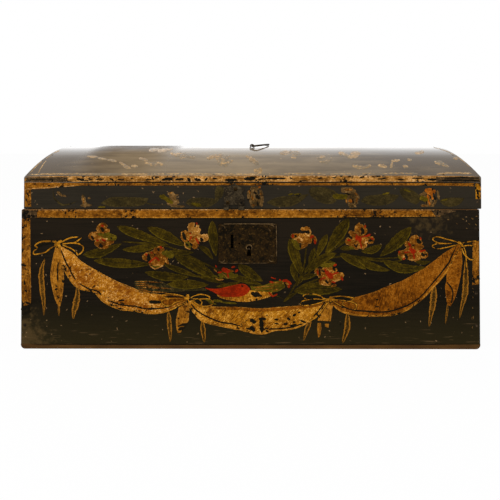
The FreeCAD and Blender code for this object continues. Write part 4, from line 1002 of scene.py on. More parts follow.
RIGHT_LEAVES = [
    ((289.4, 238.6), (294.6, 255), (302, 277), 10.4), ((292.4, 262.8), (294, 272), (297.6, 283), 7.0),
    ((314.8, 247.4), (312, 256), (308.6, 266), 5.4), ((327.2, 234.3), (322.4, 244), (316, 257.4), 7.4),
    ((307, 272), (320, 260.4), (337, 253), 9.6), ((348.8, 218.3), (339, 234), (325, 254), 12.4),
    ((340, 248.6), (346, 248), (353, 249.2), 4.8), ((382, 244.6), (372.6, 250), (361, 251.4), 7.4),
    ((339.5, 253.6), (352, 260), (366.4, 269.6), 8.4), ((357, 257.6), (371, 266), (390, 270.6), 7.8),
    ((382, 260), (402, 268.6), (426, 267.4), 9.6), ((411.2, 227), (398, 241), (379.6, 256.6), 12.6),
    ((293.6, 291), (318, 289), (342, 289.4), 13.0), ((300.6, 279.4), (308, 276.4), (317, 274.4), 5.6),
    ((283.4, 301.8), (289.4, 296.8), (298, 291.6), 3.4),
    ((331, 246.4), (338, 243.2), (346.4, 240.6), 3.4), ((413, 258.4), (421, 262.6), (431, 261.4), 4.6),
    ((319, 266), (326, 263), (336, 263), 5.6)
]
STEMS = [
    [(122, 241.6), (138, 242.8), (154, 244), (176, 249.4), (206, 264), (240, 280), (284, 299)],
    [(286, 299.6), (294, 287), (303, 270), (306.4, 247)],
    [(290, 293), (300, 278), (316, 262), (336, 248), (346, 241)],
    [(299, 284), (312, 270), (328, 259), (350, 256), (376, 258.6), (400, 257.4)],
    [(294, 291), (304, 284.6), (316, 280), (322, 278)], [(297, 286), (301.4, 274), (301.4, 262)],
    [(354, 256), (372, 260), (392, 262), (404, 259)], [(304, 272), (309, 264), (316, 254)]
]
STEM_WIDTH = 1.5
LEAVES = [([start, bend, end], width) for start, bend, end, width in LEFT_LEAVES + RIGHT_LEAVES]
paint_piece("leaves", leaf_green, "base", lift=0.20, strokes=LEAVES, profile="leaf", shake=0.25, rows=6)
paint_piece("stems", leaf_green, "base", lift=0.17, strokes=[(stem, STEM_WIDTH) for stem in STEMS])

# %% [markdown]
# Every leaf has one lighter edge, where the brush left more paint, and a thin dark line beside the
# middle. They are drawn on top, from the leaves' own lines.

# %% Veins and lighter edges
NARROW = 5
INSET, BESIDE_MIDRIB = 0.86, 0.56
EDGE_SHARE, VEIN_SHARE = 0.07, 0.06
edges, veins = [], []
for line, width in LEAVES:
    if width < NARROW:
        continue
    left, right = stroke_sides(line, width * INSET, "leaf", steps=12, shake=0.0)
    low = left if left[6].y > right[6].y else right
    edges.append((low[1:12:2], width * EDGE_SHARE))
    inner = [a.lerp(b, BESIDE_MIDRIB) for a, b in zip(left, right)]
    veins.append((inner[2:11:2], width * VEIN_SHARE))
paint_piece("leaf_edges", bright_green, "base", lift=0.30, strokes=edges)
paint_piece("leaf_veins", ink, "base", lift=0.29, strokes=veins)

# %% [markdown]
# The flowers are wild roses or pinks seen from the front, each from a dozen touches: ochre petals,
# cream lights, a green calyx, red for the heart and the notches, and black left between the petals.
# A touch is written as its start, its end and its width, in points of the photograph.

# %% Flowers
FLOWERS = {
    "ochre": [
        (91.4, 236, 98.6, 236.4, 8), (102.5, 227, 103.5, 234, 11), (97.5, 243, 105.5, 246, 8),
        (106, 243, 112, 241, 5.5), (156, 250, 162, 249.5, 6.5), (145.5, 257.5, 150, 254.5, 8),
        (153, 254.5, 164, 257.5, 10), (152, 262, 161, 262, 9.5), (165.5, 260, 168, 263, 3.4),
        (184.6, 233.5, 186, 238.5, 8.6), (188, 236, 198, 237.5, 10), (192, 241, 195.4, 246, 7),
        (302.4, 229.2, 308.4, 228.8, 4.6), (292.6, 236, 298, 236.2, 5.4), (299.6, 238, 309, 239.4, 10.4),
        (311, 237, 314.6, 240.4, 6.2), (301.5, 247, 306, 244.2, 4.6), (358.5, 228.2, 363.4, 230.4, 10.4),
        (350.6, 232.8, 355, 235.4, 6), (347.8, 241.4, 354, 243, 7.4), (362.8, 240.4, 371, 239.4, 8.6),
        (354, 245.6, 364, 245, 8), (355, 238, 362, 239, 9), (414, 239.6, 419, 246, 11),
        (407, 243.2, 410.4, 246, 6), (401.4, 254.2, 408, 254.2, 9.2), (408, 256.4, 418, 257.2, 7.6),
        (419, 253.4, 425, 255.2, 8), (409, 249.6, 417, 251, 9), (317.6, 270.6, 320.6, 275, 6.8),
        (321.6, 281.2, 329, 282.4, 7.2), (323.5, 268.8, 330, 268.8, 4.2), (327, 270.2, 335, 270.2, 6),
        (333, 276.8, 341, 275.6, 8), (322, 275, 334, 277, 8), (331.6, 286.4, 336, 285, 2),
        (227.5, 270.2, 233, 271, 2.6), (286.5, 283.4, 288.6, 286.6, 3.4)
    ],
    "cream": [
        (92.4, 234.6, 96, 235.4, 2.6), (98.6, 238.6, 107.6, 238.6, 2.6), (98, 230, 99.4, 232, 2),
        (192, 226.4, 196.6, 230.4, 10.4), (200, 237, 206, 237.8, 7.6), (192, 235, 196, 233, 4),
        (294.4, 239, 297.6, 238, 2), (299, 236.6, 302, 240.6, 2.6), (306, 234, 309, 236, 2),
        (349.4, 234.4, 351.4, 237.2, 1.1), (357, 246.6, 362, 247, 2.4), (364.5, 243, 367, 241.4, 2),
        (154, 265.4, 160, 265, 2), (150.4, 266.2, 155, 269, 1.3), (155, 269, 163, 265.6, 1.3),
        (403, 256.4, 405, 258.4, 1.4), (409, 259.6, 416, 259.6, 1.4), (322, 284.4, 328, 285.4, 1.4),
        (334, 281.4, 340, 279.4, 1.5), (214.3, 269.4, 216.6, 271.6, 1.2), (223, 273.4, 227.4, 277.8, 1.1),
        (216, 278.5, 219.5, 280, 1.3), (219.5, 280, 223.6, 279.4, 1.1), (184.6, 242.4, 185.2, 247, 1.4),
        (185.4, 247.2, 190, 249.2, 1.5), (309.6, 229.6, 311, 232.4, 1.5), (311, 232.4, 309.2, 235, 1.5)
    ],
    "green": [
        (105.4, 236, 113.6, 237.4, 8.6), (98.5, 234.4, 104, 234.6, 3), (164.4, 253, 171.6, 255.4, 7),
        (152.4, 266, 159, 266.4, 2.6), (186, 244, 189.6, 246, 5.6), (293, 240.6, 299, 248.2, 5.2),
        (350, 247, 353.4, 248.4, 3), (220, 275.4, 236, 275.4, 6), (213, 276, 222, 278, 3.4),
        (322, 265.4, 334, 264.6, 4.6), (398.8, 256, 401, 259.4, 2.4)
    ],
    "black": [
        (101.6, 228.2, 103.2, 230.6, 3.2), (92, 236.4, 93.4, 238.8, 2.4), (100.4, 244.4, 101.8, 246.6, 3),
        (111.2, 237.8, 111.8, 238.4, 1.6), (148.4, 254.8, 149, 260.2, 3.6), (158, 248.6, 159, 250.4, 2.2),
        (154.6, 254.4, 155.2, 255, 1.2), (195.4, 223.6, 195, 227, 1.8), (183.2, 233, 185.4, 239.2, 3.2),
        (201.2, 238.6, 202.4, 239.8, 3.4), (201.4, 242.2, 202.2, 242.6, 1.6),
        (190.6, 243.6, 192, 245.2, 2.2), (303.6, 231.6, 308, 231.4, 2.2), (308.6, 231, 308.8, 233.4, 1.8),
        (295.4, 235.6, 296, 236.6, 1.9), (300.2, 245.6, 300.4, 247.4, 1.8), (312.6, 239, 313.2, 243.4, 2),
        (347.6, 233.2, 351.4, 238.4, 2.2), (362, 229, 362.8, 232.6, 3.6), (369, 240.6, 371.8, 240.2, 2.4),
        (354.2, 244.6, 356.4, 247, 1.6), (356.4, 247, 357, 244, 1.6), (417.4, 239.8, 419.8, 242.4, 3.4),
        (405.4, 255, 406.8, 257.8, 2.8), (422, 253.8, 423.8, 255.4, 3), (425.6, 254, 426.4, 255, 1.8),
        (319.6, 269.6, 319.8, 275, 2.2), (326, 281, 327.6, 282.4, 3), (333, 266.6, 334.6, 270.4, 2.4),
        (412.6, 244.8, 413.4, 245.6, 1.4), (186.2, 244, 188.2, 245.6, 2.2),
        (285.4, 284, 286.2, 286.2, 1.7)
    ],
    "red": [
        (102.2, 239.2, 105, 240.6, 2.2), (97, 240.6, 98.6, 239.8, 1.6), (101.5, 225.2, 103.4, 226.2, 1.8),
        (160.4, 246.8, 161.6, 247.8, 1.9), (149.3, 262.5, 152, 260.2, 1.7),
        (152, 260.2, 155.6, 257.3, 1.8), (155.6, 257.3, 159, 260.4, 2.1), (145.6, 253.8, 147, 255, 1.6),
        (151.4, 252.4, 152.2, 253, 1.4), (196.4, 222.8, 197.4, 224, 1.7),
        (191.6, 236.2, 189.6, 240.4, 1.5), (196, 238.4, 199, 243.6, 1.7), (190, 233.2, 190.6, 233.8, 1.4),
        (223.4, 269.4, 228.4, 271.2, 4.6), (218, 272.4, 221.4, 272, 1.8), (215.7, 265.3, 216.4, 267, 1.4),
        (232, 267.2, 234.4, 266.4, 1.8), (235.7, 271.4, 237.5, 269.8, 2.1),
        (227.2, 273.4, 228.6, 277.4, 1.5), (292.9, 234.8, 292.6, 237.4, 1.9),
        (310.6, 237.6, 313, 236, 2.4), (314.6, 240.2, 315, 243.4, 2.2), (364.6, 227.4, 365.3, 225.6, 1.6),
        (347.6, 240, 350, 240.4, 1.9), (366.4, 236.2, 370, 234.6, 1.9), (371.4, 238, 372.8, 239, 1.9),
        (357, 237.6, 359.8, 239.6, 5.4), (356, 234.2, 357.4, 236.6, 1.3), (360, 242, 361.4, 247.6, 1.6),
        (361.4, 237, 367, 235.4, 1.2), (420, 237.6, 421, 239, 1.4), (408.6, 243.4, 410.2, 246, 2.2),
        (403, 259.4, 404.4, 258, 1.6), (410.4, 249.4, 413.6, 251.6, 5), (404.4, 252.2, 409.4, 252, 1.5),
        (413, 253, 414.3, 258.8, 1.7), (419.4, 251.6, 424.6, 250.2, 1.9), (317.4, 271, 318, 274, 1.7),
        (320, 279.6, 325, 277.4, 1.8), (325, 269.4, 326, 271.4, 2), (334, 265.6, 336, 264.4, 1.8),
        (327, 272.4, 331.4, 277, 5), (331.6, 274.6, 338, 272.4, 1.7), (341.4, 277, 342.4, 279.6, 2.2),
        (332, 281.6, 335, 282.4, 1.6), (398.8, 251.6, 399.6, 252.8, 1.6)
    ],
}
FLOWER_PAINTS = {
    "ochre": (petal_ochre, 0.30), "cream": (cream, 0.42), "green": (bright_green, 0.38),
    "black": (ink, 0.50), "red": (red_lead, 0.54),
}
for colour_name, touches in FLOWERS.items():
    paint, lift = FLOWER_PAINTS[colour_name]
    paint_piece("flower_" + colour_name, paint, "base", lift, dabs=touches)

# %% [markdown]
# A bird hangs head first over the middle swag: a red back, an ochre breast, a green neck with a red
# crest, and a long tail of dry grey-green strokes that runs out to the left. A few green touches
# under the breast are what is left of its foot.

# %% Bird
BIRD_TAIL = [
    ([(134.5, 281.4), (139, 280.4), (150, 280.2), (160, 281), (167, 284), (176, 288), (190, 289.6),
      (206, 287.8)],
     [(135, 288), (140, 292), (150, 293.4), (160, 293), (168, 292.2), (178, 291.6), (192, 291),
      (207, 290.4)])
]
FEATHER_SPANS = [(135, 163), (136, 150), (135, 158), (138, 172), (137, 149), (140, 168)]
BIRD_BREAST = [
    ([(217, 294), (224, 296.4), (232, 297), (240, 295), (247, 291.5), (253, 289.6), (262, 290.4),
      (271, 291.6)],
     [(217.4, 296.2), (224, 299), (232, 300.6), (240, 301.6), (250, 301.6), (260.7, 299.3), (268, 297.3),
      (274, 294.6)])
]
BIRD_BACK = [
    ([(205, 287.6), (213, 288.8), (221, 288), (232, 285.4), (240, 283.9), (245, 284.1), (250, 288.4)],
     [(205.6, 288.4), (213.4, 292), (221.8, 296.4), (232, 297), (240, 297), (246, 295),
      (250.2, 289.6)])
]
BIRD_NECK = [
    ([(250, 286), (258, 285.8), (266, 284.4), (274, 281.4), (283, 280.4)],
     [(252, 290.4), (262, 291.4), (270, 292.2), (278, 291.4), (285.4, 287)])
]
BIRD_RED = [
    ([(282, 281.2), (286, 280.4), (289.4, 282.6), (291.2, 284.4)], 2.4),
    ([(288.4, 284.6), (289.2, 287.8)], 2.2), ([(268.7, 291.6), (272.4, 296), (277.6, 293.8)], 1.5),
    ([(279, 279.4), (281, 280.6)], 1.4), ([(269.4, 281.4), (273.4, 282.6)], 1.6),
    ([(270.8, 277), (273, 278), (276, 278.8)], 1.0)
]
NECK_STREAKS = [
    ([(253, 287.4), (260, 287), (268, 285.6)], 1.2), ([(262, 289.6), (270, 288.6), (279, 285.4)], 1.2),
    ([(272.4, 291), (279, 288.6)], 1.2), ([(255, 289.6), (263, 288.6)], 1.2),
    ([(268, 283.6), (276, 282.6), (284, 283.4)], 1.0), ([(266, 286.6), (275, 284.6)], 0.8)
]
FOOT = [
    (206, 299.4, 212, 301.4, 2.4), (214, 300.4, 222, 301.6, 2.6), (223, 302.4, 236, 303.4, 2.0),
    (209, 302.6, 216, 304, 1.6)
]
FEATHER_TOP, FEATHER_GAP, FEATHER_WIDTH = 281.4, 2.0, 1.1
MIDDLE_SAG, END_SAG = 0.3, 1.2
feathers = []
for row, (start, end) in enumerate(FEATHER_SPANS):
    level = FEATHER_TOP + row * FEATHER_GAP
    line = [(start, level), ((start + end) / 2, level + MIDDLE_SAG), (end, level + END_SAG)]
    feathers.append((line, FEATHER_WIDTH))
paint_piece("bird_tail", grey_green, "base", lift=0.22, panels=BIRD_TAIL)
paint_piece("bird_tail_lights", petal_ochre, "base", lift=0.40, strokes=feathers, profile="leaf",
    shake=0.8)
paint_piece("bird_breast", middle_ochre, "base", lift=0.26, panels=BIRD_BREAST)
paint_piece("bird_back", red_lead, "base", lift=0.36, panels=BIRD_BACK)
paint_piece("bird_neck", bright_green, "base", lift=0.34, panels=BIRD_NECK, dabs=FOOT)
paint_piece("bird_red", red_lead, "base", lift=0.50, strokes=BIRD_RED)
paint_piece("bird_streaks", petal_ochre, "base", lift=0.46, strokes=NECK_STREAKS, profile="leaf",
    shake=0.6)

# %% [markdown]
# Dark lines and losses come last. The line inside each hem is painted; the ragged black islands are
# places where the ochre fell off and the ground coat shows, so they are laid as patches of that coat.

# %% Hem lines and losses
HEM_LINES = [
    [(60.9, 249.4), (64.9, 260), (70.1, 269.6), (73, 275.6), (75.6, 279.6)],
    [(79.3, 283.2), (88.5, 288.6), (97.1, 290.8), (101.4, 295)],
    [(107.6, 300), (118, 303.9), (127, 305.6), (135.2, 306.2), (144.4, 308.5), (156, 308.6),
     (169.6, 307.2)],
    [(191.2, 303.6), (195.9, 309.7), (204, 315), (213, 319.4), (222, 322.3), (233, 324), (242, 326.4)],
    [(267.6, 329), (280, 328.4), (291, 327.2), (303, 323.6)],
    [(334, 303.4), (339.4, 305.6), (347, 308.2), (355, 310.2), (370, 311.5), (384, 311.8), (396, 309.6),
     (408.2, 304.8), (422, 295.3), (434.2, 280.9), (440.5, 273.5), (449, 262), (453, 253), (456, 247)],
    [(446.4, 281.8), (449.6, 285.6), (452.2, 290), (452.6, 296.6), (450.8, 303.4)],
    [(58.4, 262), (57.6, 272), (58.2, 283)],
    [(325.4, 301.4), (322.6, 305.4), (318, 311.4), (313.4, 316.6)]
]
LOSSES = [
    (150, 301.6, 160, 302.2, 3.4), (252.4, 293.4, 258, 295.4, 4.2), (256, 292.4, 261.4, 295.8, 2.6),
    (251.4, 320, 254.8, 321.6, 4.0), (259.6, 318.6, 265.4, 318.8, 2.6), (261.4, 319.6, 261.8, 330.6, 4.4),
    (251.4, 327.4, 253.6, 330, 4.0), (246.6, 328.2, 250, 329.2, 1.7), (275, 319.2, 277.2, 319.4, 2.2),
    (287.6, 318.6, 289.6, 319.2, 2.3), (293.4, 315.4, 295.4, 314.6, 2.2),
    (298.6, 312.4, 299.6, 312.2, 1.6), (284.6, 324, 286.6, 323.6, 2.6), (293.4, 322, 294.6, 321.8, 1.8),
    (274.6, 323.2, 278.6, 323.6, 1.1), (300.6, 320.2, 305.6, 322.4, 1.8), (290.4, 325.6, 296, 324.4, 1.8),
    (266, 330.6, 268, 331.4, 1.6), (178, 317.8, 178.8, 318.6, 1.4), (178.4, 326, 187, 323.6, 2.2),
    (179, 329.4, 184, 327.6, 2.8), (187.2, 301.6, 187.8, 302.4, 1.7), (55.6, 289.2, 57.2, 289, 1.9),
    (62.6, 280.6, 64, 281.6, 2.2), (56, 285.4, 57, 286.4, 1.3), (57.6, 296, 58.8, 297.8, 1.6),
    (60, 300.6, 60.6, 301.6, 1.2), (21, 264.4, 25.6, 265.6, 2.2), (24.4, 281, 25, 284.4, 1.4),
    (25, 290, 27, 291.4, 1.4), (26, 302, 31, 304, 2.0), (28, 306, 29.6, 312, 2.2),
    (22.4, 309, 26, 307, 3.6), (23, 314, 29, 311.6, 3.0), (477.4, 276.4, 479, 278.6, 2.4),
    (473.4, 279.6, 474.4, 280.4, 1.2), (118.4, 308.2, 121.4, 308.6, 1.6), (119, 300.4, 124, 300, 1.6),
    (120.6, 302.6, 123.4, 303.2, 1.2), (160, 287.6, 161, 288.4, 1.0), (376, 299.4, 378, 299.2, 1.2),
    (375.6, 306.6, 378.6, 306.4, 1.2), (241.8, 285.6, 242.8, 286.2, 1.6),
    (272.2, 293.2, 273.4, 294.2, 1.4), (340, 324, 341, 324, 1.0)
]
HEM_LINE_WIDTH = 1.35
paint_piece("hem_lines", ink, "base", lift=0.40, strokes=[(line, HEM_LINE_WIDTH) for line in HEM_LINES],
    shake=0.8)
paint_piece("flaked_patches", ink, "base", lift=0.58, dabs=LOSSES)

# %% [markdown]
# The lid has borders of its own: an ochre band over the edge of the bent board, a line under the
# joint that widens towards the left corner, and an upright band at each end. Along the arris the
# paint is rubbed through to pale wood, and so is the top arris of the base.

# %% Borders of the lid
LID_BANDS = [
    ([(25.2, 178), (60, 176.9), (240, 176.7), (372, 176.8), (438, 177)],
     [(24.2, 181.4), (60, 181.7), (240, 181.7), (372, 181.7), (438, 181.6)]),
    ([(76, 183.1), (240, 183), (400, 183), (455, 183.1), (474, 183.2)],
     [(76, 185.6), (240, 185.3), (400, 185.3), (455, 185.8), (474, 186.4)]),
    ([(24.4, 182.4), (40, 182.6), (60, 182.8), (77, 183)],
     [(24.2, 190.2), (31, 189.4), (52, 188), (77, 185.8)]),
    ([(24.2, 189.6), (24.5, 198), (24.8, 206.8)], [(31, 189.2), (31, 198), (31.3, 206.6)]),
    ([(475, 183.4), (475.4, 190), (475.6, 199)], [(480.8, 183.6), (480.9, 190), (480.7, 199)])
]
RUBBED_LINES = [
    ([(26.5, 176.9), (120, 176.2), (240, 176.1), (360, 176.2), (476, 176.4)], 1.1),
    ([(24.6, 189.8), (31, 188.8), (52, 187.4), (76, 185.6)], 0.8),
    ([(25, 210), (120, 209.8), (240, 209.7), (360, 209.8), (440, 210)], 0.6)
]
JOINT_LINES = [
    ([(78, 182.4), (180, 182.3), (300, 182.3), (400, 182.4), (476, 182.6)], 0.9),
    ([(29, 179.8), (42, 179.5), (55, 179.7)], 0.8), ([(392, 182), (392.2, 185)], 1.1),
    ([(441, 180.6), (458, 180.2), (479, 180.6)], 1.5),
    ([(444, 178.2), (462, 177.8), (479, 178.2)], 1.1)
]
EDGE_CHIPS = [
    (77, 179, 84, 179.4, 1.8), (88, 178.6, 92, 179.8, 1.4), (96, 179.6, 104, 179, 1.3),
    (110, 178.4, 113, 179.6, 1.6), (118, 179.4, 124, 179.6, 1.4), (131, 178.4, 133, 178.8, 1.4),
    (146, 179.6, 151, 179.4, 1.3), (80, 180.6, 90, 180.4, 0.9), (163, 179.4, 172, 179, 3.0),
    (176, 179.6, 183, 179, 2.4), (188, 178.6, 190, 180.8, 2.6), (195, 179, 200, 180.4, 2.8),
    (205, 180, 207, 178.4, 2.0), (213, 178.6, 217, 179, 1.6), (226, 180, 236, 180, 3.0),
    (245, 178.8, 254, 178.6, 3.4), (250, 177.4, 256, 177, 2.0), (258, 179.2, 270, 178.8, 1.2),
    (98, 178, 101, 178, 0.9), (266, 178.6, 285, 178.4, 2.0), (290, 177.8, 292, 178.6, 1.6),
    (300, 180.6, 306, 180.6, 1.0), (318, 178.6, 322, 178, 1.4), (333, 177.6, 335, 178, 1.4),
    (360, 177.6, 364, 177, 1.6), (378, 179, 386, 178.6, 1.6), (398, 179.6, 404, 179.4, 1.4),
    (412, 178.4, 424, 178, 1.4), (428, 179.4, 436, 179.6, 2.2), (27, 193, 28, 195, 1.4),
    (26, 199, 27, 201, 1.4), (28.6, 204, 29.4, 205, 1.2), (34, 184, 36, 184, 1.2),
    (48, 185.6, 50, 185.4, 1.0), (477, 190, 478, 194, 2.4), (477.6, 196, 478.6, 198, 2.2)
]
CORNER_BAND = [([(27, 177.6), (48, 176.8), (72, 176.7)], [(25.4, 181.6), (48, 181.9), (72, 181.9)])]
RIGHT_EDGE_BAND = [([(436, 176.8), (456, 176.6), (479, 177)], [(436, 181.8), (456, 181.9), (480, 182)])]
paint_piece("lid_edge_band", edge_gold, "lid", lift=0.10, panels=LID_BANDS[:1])
paint_piece("lid_borders", band_ochre, "lid", lift=0.10, panels=LID_BANDS[1:4])
paint_piece("lid_right_band", ribbon_ochre, "lid", lift=0.10, panels=LID_BANDS[4:])
paint_piece("lid_worn_edge", worn_ochre, "lid", lift=0.14, panels=CORNER_BAND + RIGHT_EDGE_BAND)
paint_piece("lid_rubbed_arris", rubbed_wood, "lid", lift=0.24, strokes=RUBBED_LINES[:2], shake=0.9)
paint_piece("base_rubbed_arris", rubbed_wood, "base", lift=0.24, strokes=RUBBED_LINES[2:], shake=0.9)
paint_piece("lid_chips_and_joint", ink, "lid", lift=0.30, strokes=JOINT_LINES, dabs=EDGE_CHIPS)

# %% [markdown]
# A row of single leaves and worn flowers runs along the front of the lid, behind the hasp plate.
# Leaves are filled shapes between two lines; the flowers are touches of the brush, as on the base.

# %% Sprays on the lid front
LID_LEAVES = [
    ([(101, 203), (106, 199.5), (112, 197.2), (130, 197), (148, 198)],
     [(101, 203.6), (110, 206.4), (125, 206.8), (143, 205), (148.6, 198.8)]),
    ([(185.6, 203), (190, 198.6), (204, 197.6), (218.6, 199.4)],
     [(186, 203.8), (195, 207), (208, 207), (216, 203), (219, 200.2)]),
    ([(215, 199), (214.8, 192), (215.8, 188), (217.2, 185.4)],
     [(217, 199.8), (221.8, 197.4), (223.8, 192), (224, 187.4)]),
    ([(266.8, 202.2), (275, 198), (285, 196), (297, 195.8), (308, 194)],
     [(267, 203), (277, 206.4), (291, 206.2), (300, 202), (308.4, 194.8)]),
    ([(308.6, 191), (312, 187.3), (323, 187), (333, 190), (337.6, 194)],
     [(308.8, 192.4), (311.5, 196.6), (317, 201), (325, 203.8), (333, 203.4), (338, 199)]),
    ([(360.6, 201), (366, 196.2), (375, 195), (387, 194), (398.6, 195)],
     [(361, 201.8), (371, 205.2), (384, 205.2), (393, 202), (399, 195.8)]),
    ([(399.6, 189), (403, 187.4), (409, 188.4), (415, 192), (421.6, 196.6)],
     [(400, 193), (404, 199), (412, 203), (417, 204.2), (422, 198)]),
    ([(439.6, 200.6), (446, 198), (455, 197.6), (464, 198)],
     [(440, 201.6), (443, 204.6), (450, 207), (459, 204.6), (464.4, 198.8)])
]
LID_TOUCHES = {
    "tan": [
        (83, 196, 85, 206, 4), (81.6, 205.4, 91, 205.2, 3), (88.4, 198, 90, 198.2, 1.8),
        (168.6, 193.8, 173, 193.6, 3), (168.6, 203, 175, 205.4, 4.6), (176, 206.2, 184, 206.4, 2.4),
        (178, 199.6, 178.4, 203, 1.8), (176.4, 195, 178, 194.8, 1.6), (249, 192, 249.6, 198, 4.6),
        (251, 200, 253, 206, 5), (252.4, 188.6, 258, 188.4, 3), (260.6, 191, 262, 197, 4),
        (261.6, 198, 261, 205, 4.4), (343.4, 190.6, 347, 189.4, 6), (349, 190.6, 354, 191.4, 5),
        (353, 194.6, 357, 198, 6.4), (356, 198, 355.6, 203, 5), (349.6, 206.8, 356, 206.6, 1.8),
        (420.4, 194.6, 426, 193.6, 2.4), (437.4, 191, 438.8, 199, 2.4), (421.6, 205.4, 432, 205.2, 3),
        (253, 189, 257, 203.6, 7), (350, 191, 352, 204, 10), (171, 196, 176, 203, 5),
        (172, 193, 175, 198, 4), (424, 193, 427, 204, 4), (436, 200, 433, 206, 3),
        (57.6, 192, 62, 195.6, 2.6), (63, 195.4, 65.8, 196.4, 1.8), (430.4, 199.6, 431.2, 205.6, 2.6)
    ],
    "cream": [
        (252, 196, 253, 200, 1.6), (357, 198, 356.4, 202, 1.4), (346, 199, 346.6, 203, 1.4),
        (345.4, 189.4, 351.6, 189.6, 2.2), (249.4, 190.4, 250.2, 194, 1.4), (260.8, 193, 261.2, 196, 1.2),
        (83.4, 198, 84, 203, 1.2), (252.6, 204.6, 254.4, 205.8, 1.4), (355, 192.8, 357.6, 195, 1.4),
        (422, 205.8, 426, 205.8, 1.2), (170, 192.8, 172, 192.8, 1.2)
    ],
    "green": [
        (161, 196.4, 165.4, 198, 4.6), (165.4, 198, 171.4, 203, 4.6), (192.4, 203.6, 200, 205.4, 3.2),
        (334.6, 196.4, 345.6, 196.8, 5.6), (421.4, 198.4, 427.4, 199, 5.4), (98.6, 207, 105, 207, 1.6),
        (288.6, 194.6, 293, 193.8, 1.8), (294.6, 194.6, 300.6, 194, 1.8), (383, 194.2, 389, 192.8, 1.8),
        (404, 189.6, 410, 191.6, 1.6), (441.6, 200.2, 447, 199.4, 1.4)
    ],
    "orange": [
        (258.6, 187, 260, 187.2, 1.8), (349.6, 201, 351, 201.2, 3.2), (427.6, 195.4, 428.4, 199, 2.4),
        (431.6, 195.4, 432.6, 199, 2.2), (428.6, 200.6, 429.4, 204.8, 1.8)
    ],
    "red": [(426.6, 190.8, 433.6, 191.6, 5.6), (429, 193.4, 431.6, 194.8, 2.6)],
    "black": [
        (256.4, 196, 259, 198, 3.4), (254.4, 192, 256, 193.6, 2.0), (346, 193.4, 350, 194.8, 1.6),
        (352.4, 199, 353, 203, 1.6), (426, 201.4, 426.6, 204, 1.4), (434.4, 196, 435.4, 199.4, 1.6),
        (247.6, 199.4, 249, 199.8, 1.6), (257.6, 202.6, 258, 205.6, 1.8)
    ],
}
LID_ARCS = [
    ([(53, 189), (54, 197), (58, 202), (63, 205), (70, 204), (78, 201)], 2.0),
    ([(144, 201.5), (152, 204.5), (168, 205)], 1.3)
]
LID_PAINTS = {
    "tan": (faded_petal, 0.26), "cream": (petal_ochre, 0.38), "green": (bright_green, 0.34),
    "orange": (orange, 0.40), "red": (orange, 0.38), "black": (ink, 0.46),
}
paint_piece("lid_leaves", faded_green, "lid", lift=0.16, panels=LID_LEAVES)
for colour_name, touches in LID_TOUCHES.items():
    paint, lift = LID_PAINTS[colour_name]
    paint_piece("lid_" + colour_name + "_touches", paint, "lid", lift, dabs=touches)
paint_piece("lid_worn_arcs", faded_green, "lid", lift=0.16, strokes=LID_ARCS, profile="leaf", shake=0.6,
    rows=3)

# %% [markdown]
# On the top of the lid the decoration is nearly gone: a narrow border a little inside the edges, and
# the ghosts of leaves and flowers in rubbed gold under the varnish. They are laid on the curve of the
# bent board along the same sight lines.

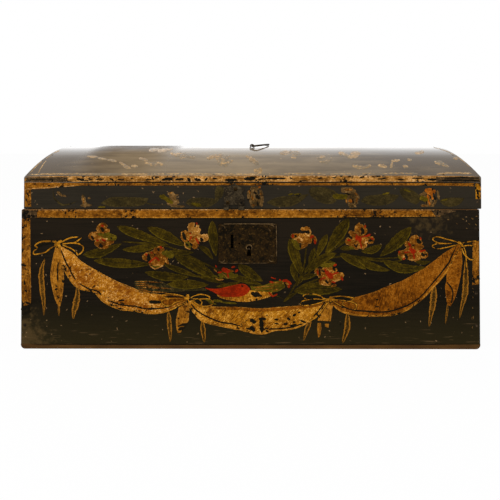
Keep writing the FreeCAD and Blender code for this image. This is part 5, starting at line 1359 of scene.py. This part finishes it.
# %% Traces on the vault
VAULT_BORDER = [
    ([(28.6, 174.6), (60, 174), (120, 174.2), (150, 174)], 1.5),
    ([(150, 174), (200, 174), (240, 174.2), (300, 173.8), (330, 174)], 1.6),
    ([(330, 174), (362, 173.6), (400, 173.4), (418, 173.6)], 1.4),
    ([(436, 174), (452, 173), (472, 173.4)], 1.6),
    ([(30, 173), (33.6, 169), (37.6, 164.8), (42, 161)], 0.9),
    ([(38, 173.6), (40.4, 169), (43.6, 164), (46.4, 160.6)], 0.9),
    ([(46, 158.8), (50, 155.6), (54.6, 152.6), (60, 150.4)], 1.0),
    ([(433, 147.2), (440, 149), (447, 151.4), (455, 155.4)], 1.0),
    ([(455, 155.4), (463, 161), (470, 167.4)], 0.8)
]
VAULT_TRACES = [
    (88, 156.4, 97, 157, 0.9), (98, 158, 106, 159.2, 0.9), (108, 160, 116, 161.2, 1.0),
    (120, 162.6, 126, 166, 1.2), (124, 166.4, 130, 168.2, 1.3), (132, 166, 137, 166.4, 1.3),
    (150, 150.2, 158, 149.4, 1.6), (159, 150.8, 166, 150, 1.8), (166, 150, 172, 149.2, 1.2),
    (171, 153, 176, 155.6, 1.4), (178, 155, 186, 155.4, 2.6), (186, 156, 194, 157.6, 1.8),
    (140, 158.6, 147, 160.2, 1.4), (146, 163, 156, 165, 1.6), (157, 162, 162, 164.6, 1.4),
    (208, 158.6, 214, 156.4, 1.6), (214, 157, 222, 155.6, 1.8), (218, 158.4, 226, 160, 2.4),
    (219, 162.4, 226, 164.6, 2.4), (226, 158.6, 229, 156.4, 1.8), (228, 162.6, 232, 160.8, 1.5),
    (247, 156.4, 251, 157.8, 1.6), (251, 160, 255, 161.4, 2.2), (255, 162.6, 258, 163.6, 1.6),
    (255.4, 170.4, 260, 171.6, 2.0), (260, 168.8, 261, 170.4, 1.4), (281, 153.4, 288, 152.6, 1.8),
    (290, 152.6, 299, 153.4, 2.2), (292, 156.6, 295, 157.4, 1.4), (318, 158, 324, 157, 1.5),
    (321, 161.4, 328, 162, 1.8), (328.6, 161.6, 331, 158, 1.0), (340, 153, 347, 155.4, 1.8),
    (349, 156.6, 357, 155.8, 2.0), (352, 153.2, 359, 153.6, 1.8), (354, 166, 361, 167.2, 1.8),
    (362, 168, 370, 165.8, 1.5), (379, 165.4, 386, 166.6, 1.4), (392, 163, 391, 167, 1.2),
    (392, 161, 399, 160.4, 1.2), (404, 166, 407, 167, 1.5), (408, 159.6, 411, 160.4, 1.1),
    (416, 153, 423, 152, 1.6), (436, 162, 443, 164, 1.8), (443, 164.6, 448, 166.4, 1.3),
    (454, 158.4, 457, 158.8, 1.1)
]
WIDENED = 2.3
traces = [(x0, y0, x1, y1, width * WIDENED) for x0, y0, x1, y1, width in VAULT_TRACES]
paint_piece("vault_border", ghost_gold, "lid", lift=0.06, strokes=VAULT_BORDER, place=on_vault, shake=0.9)
paint_piece("vault_traces", ghost_gold, "lid", lift=0.05, dabs=traces, place=on_vault)
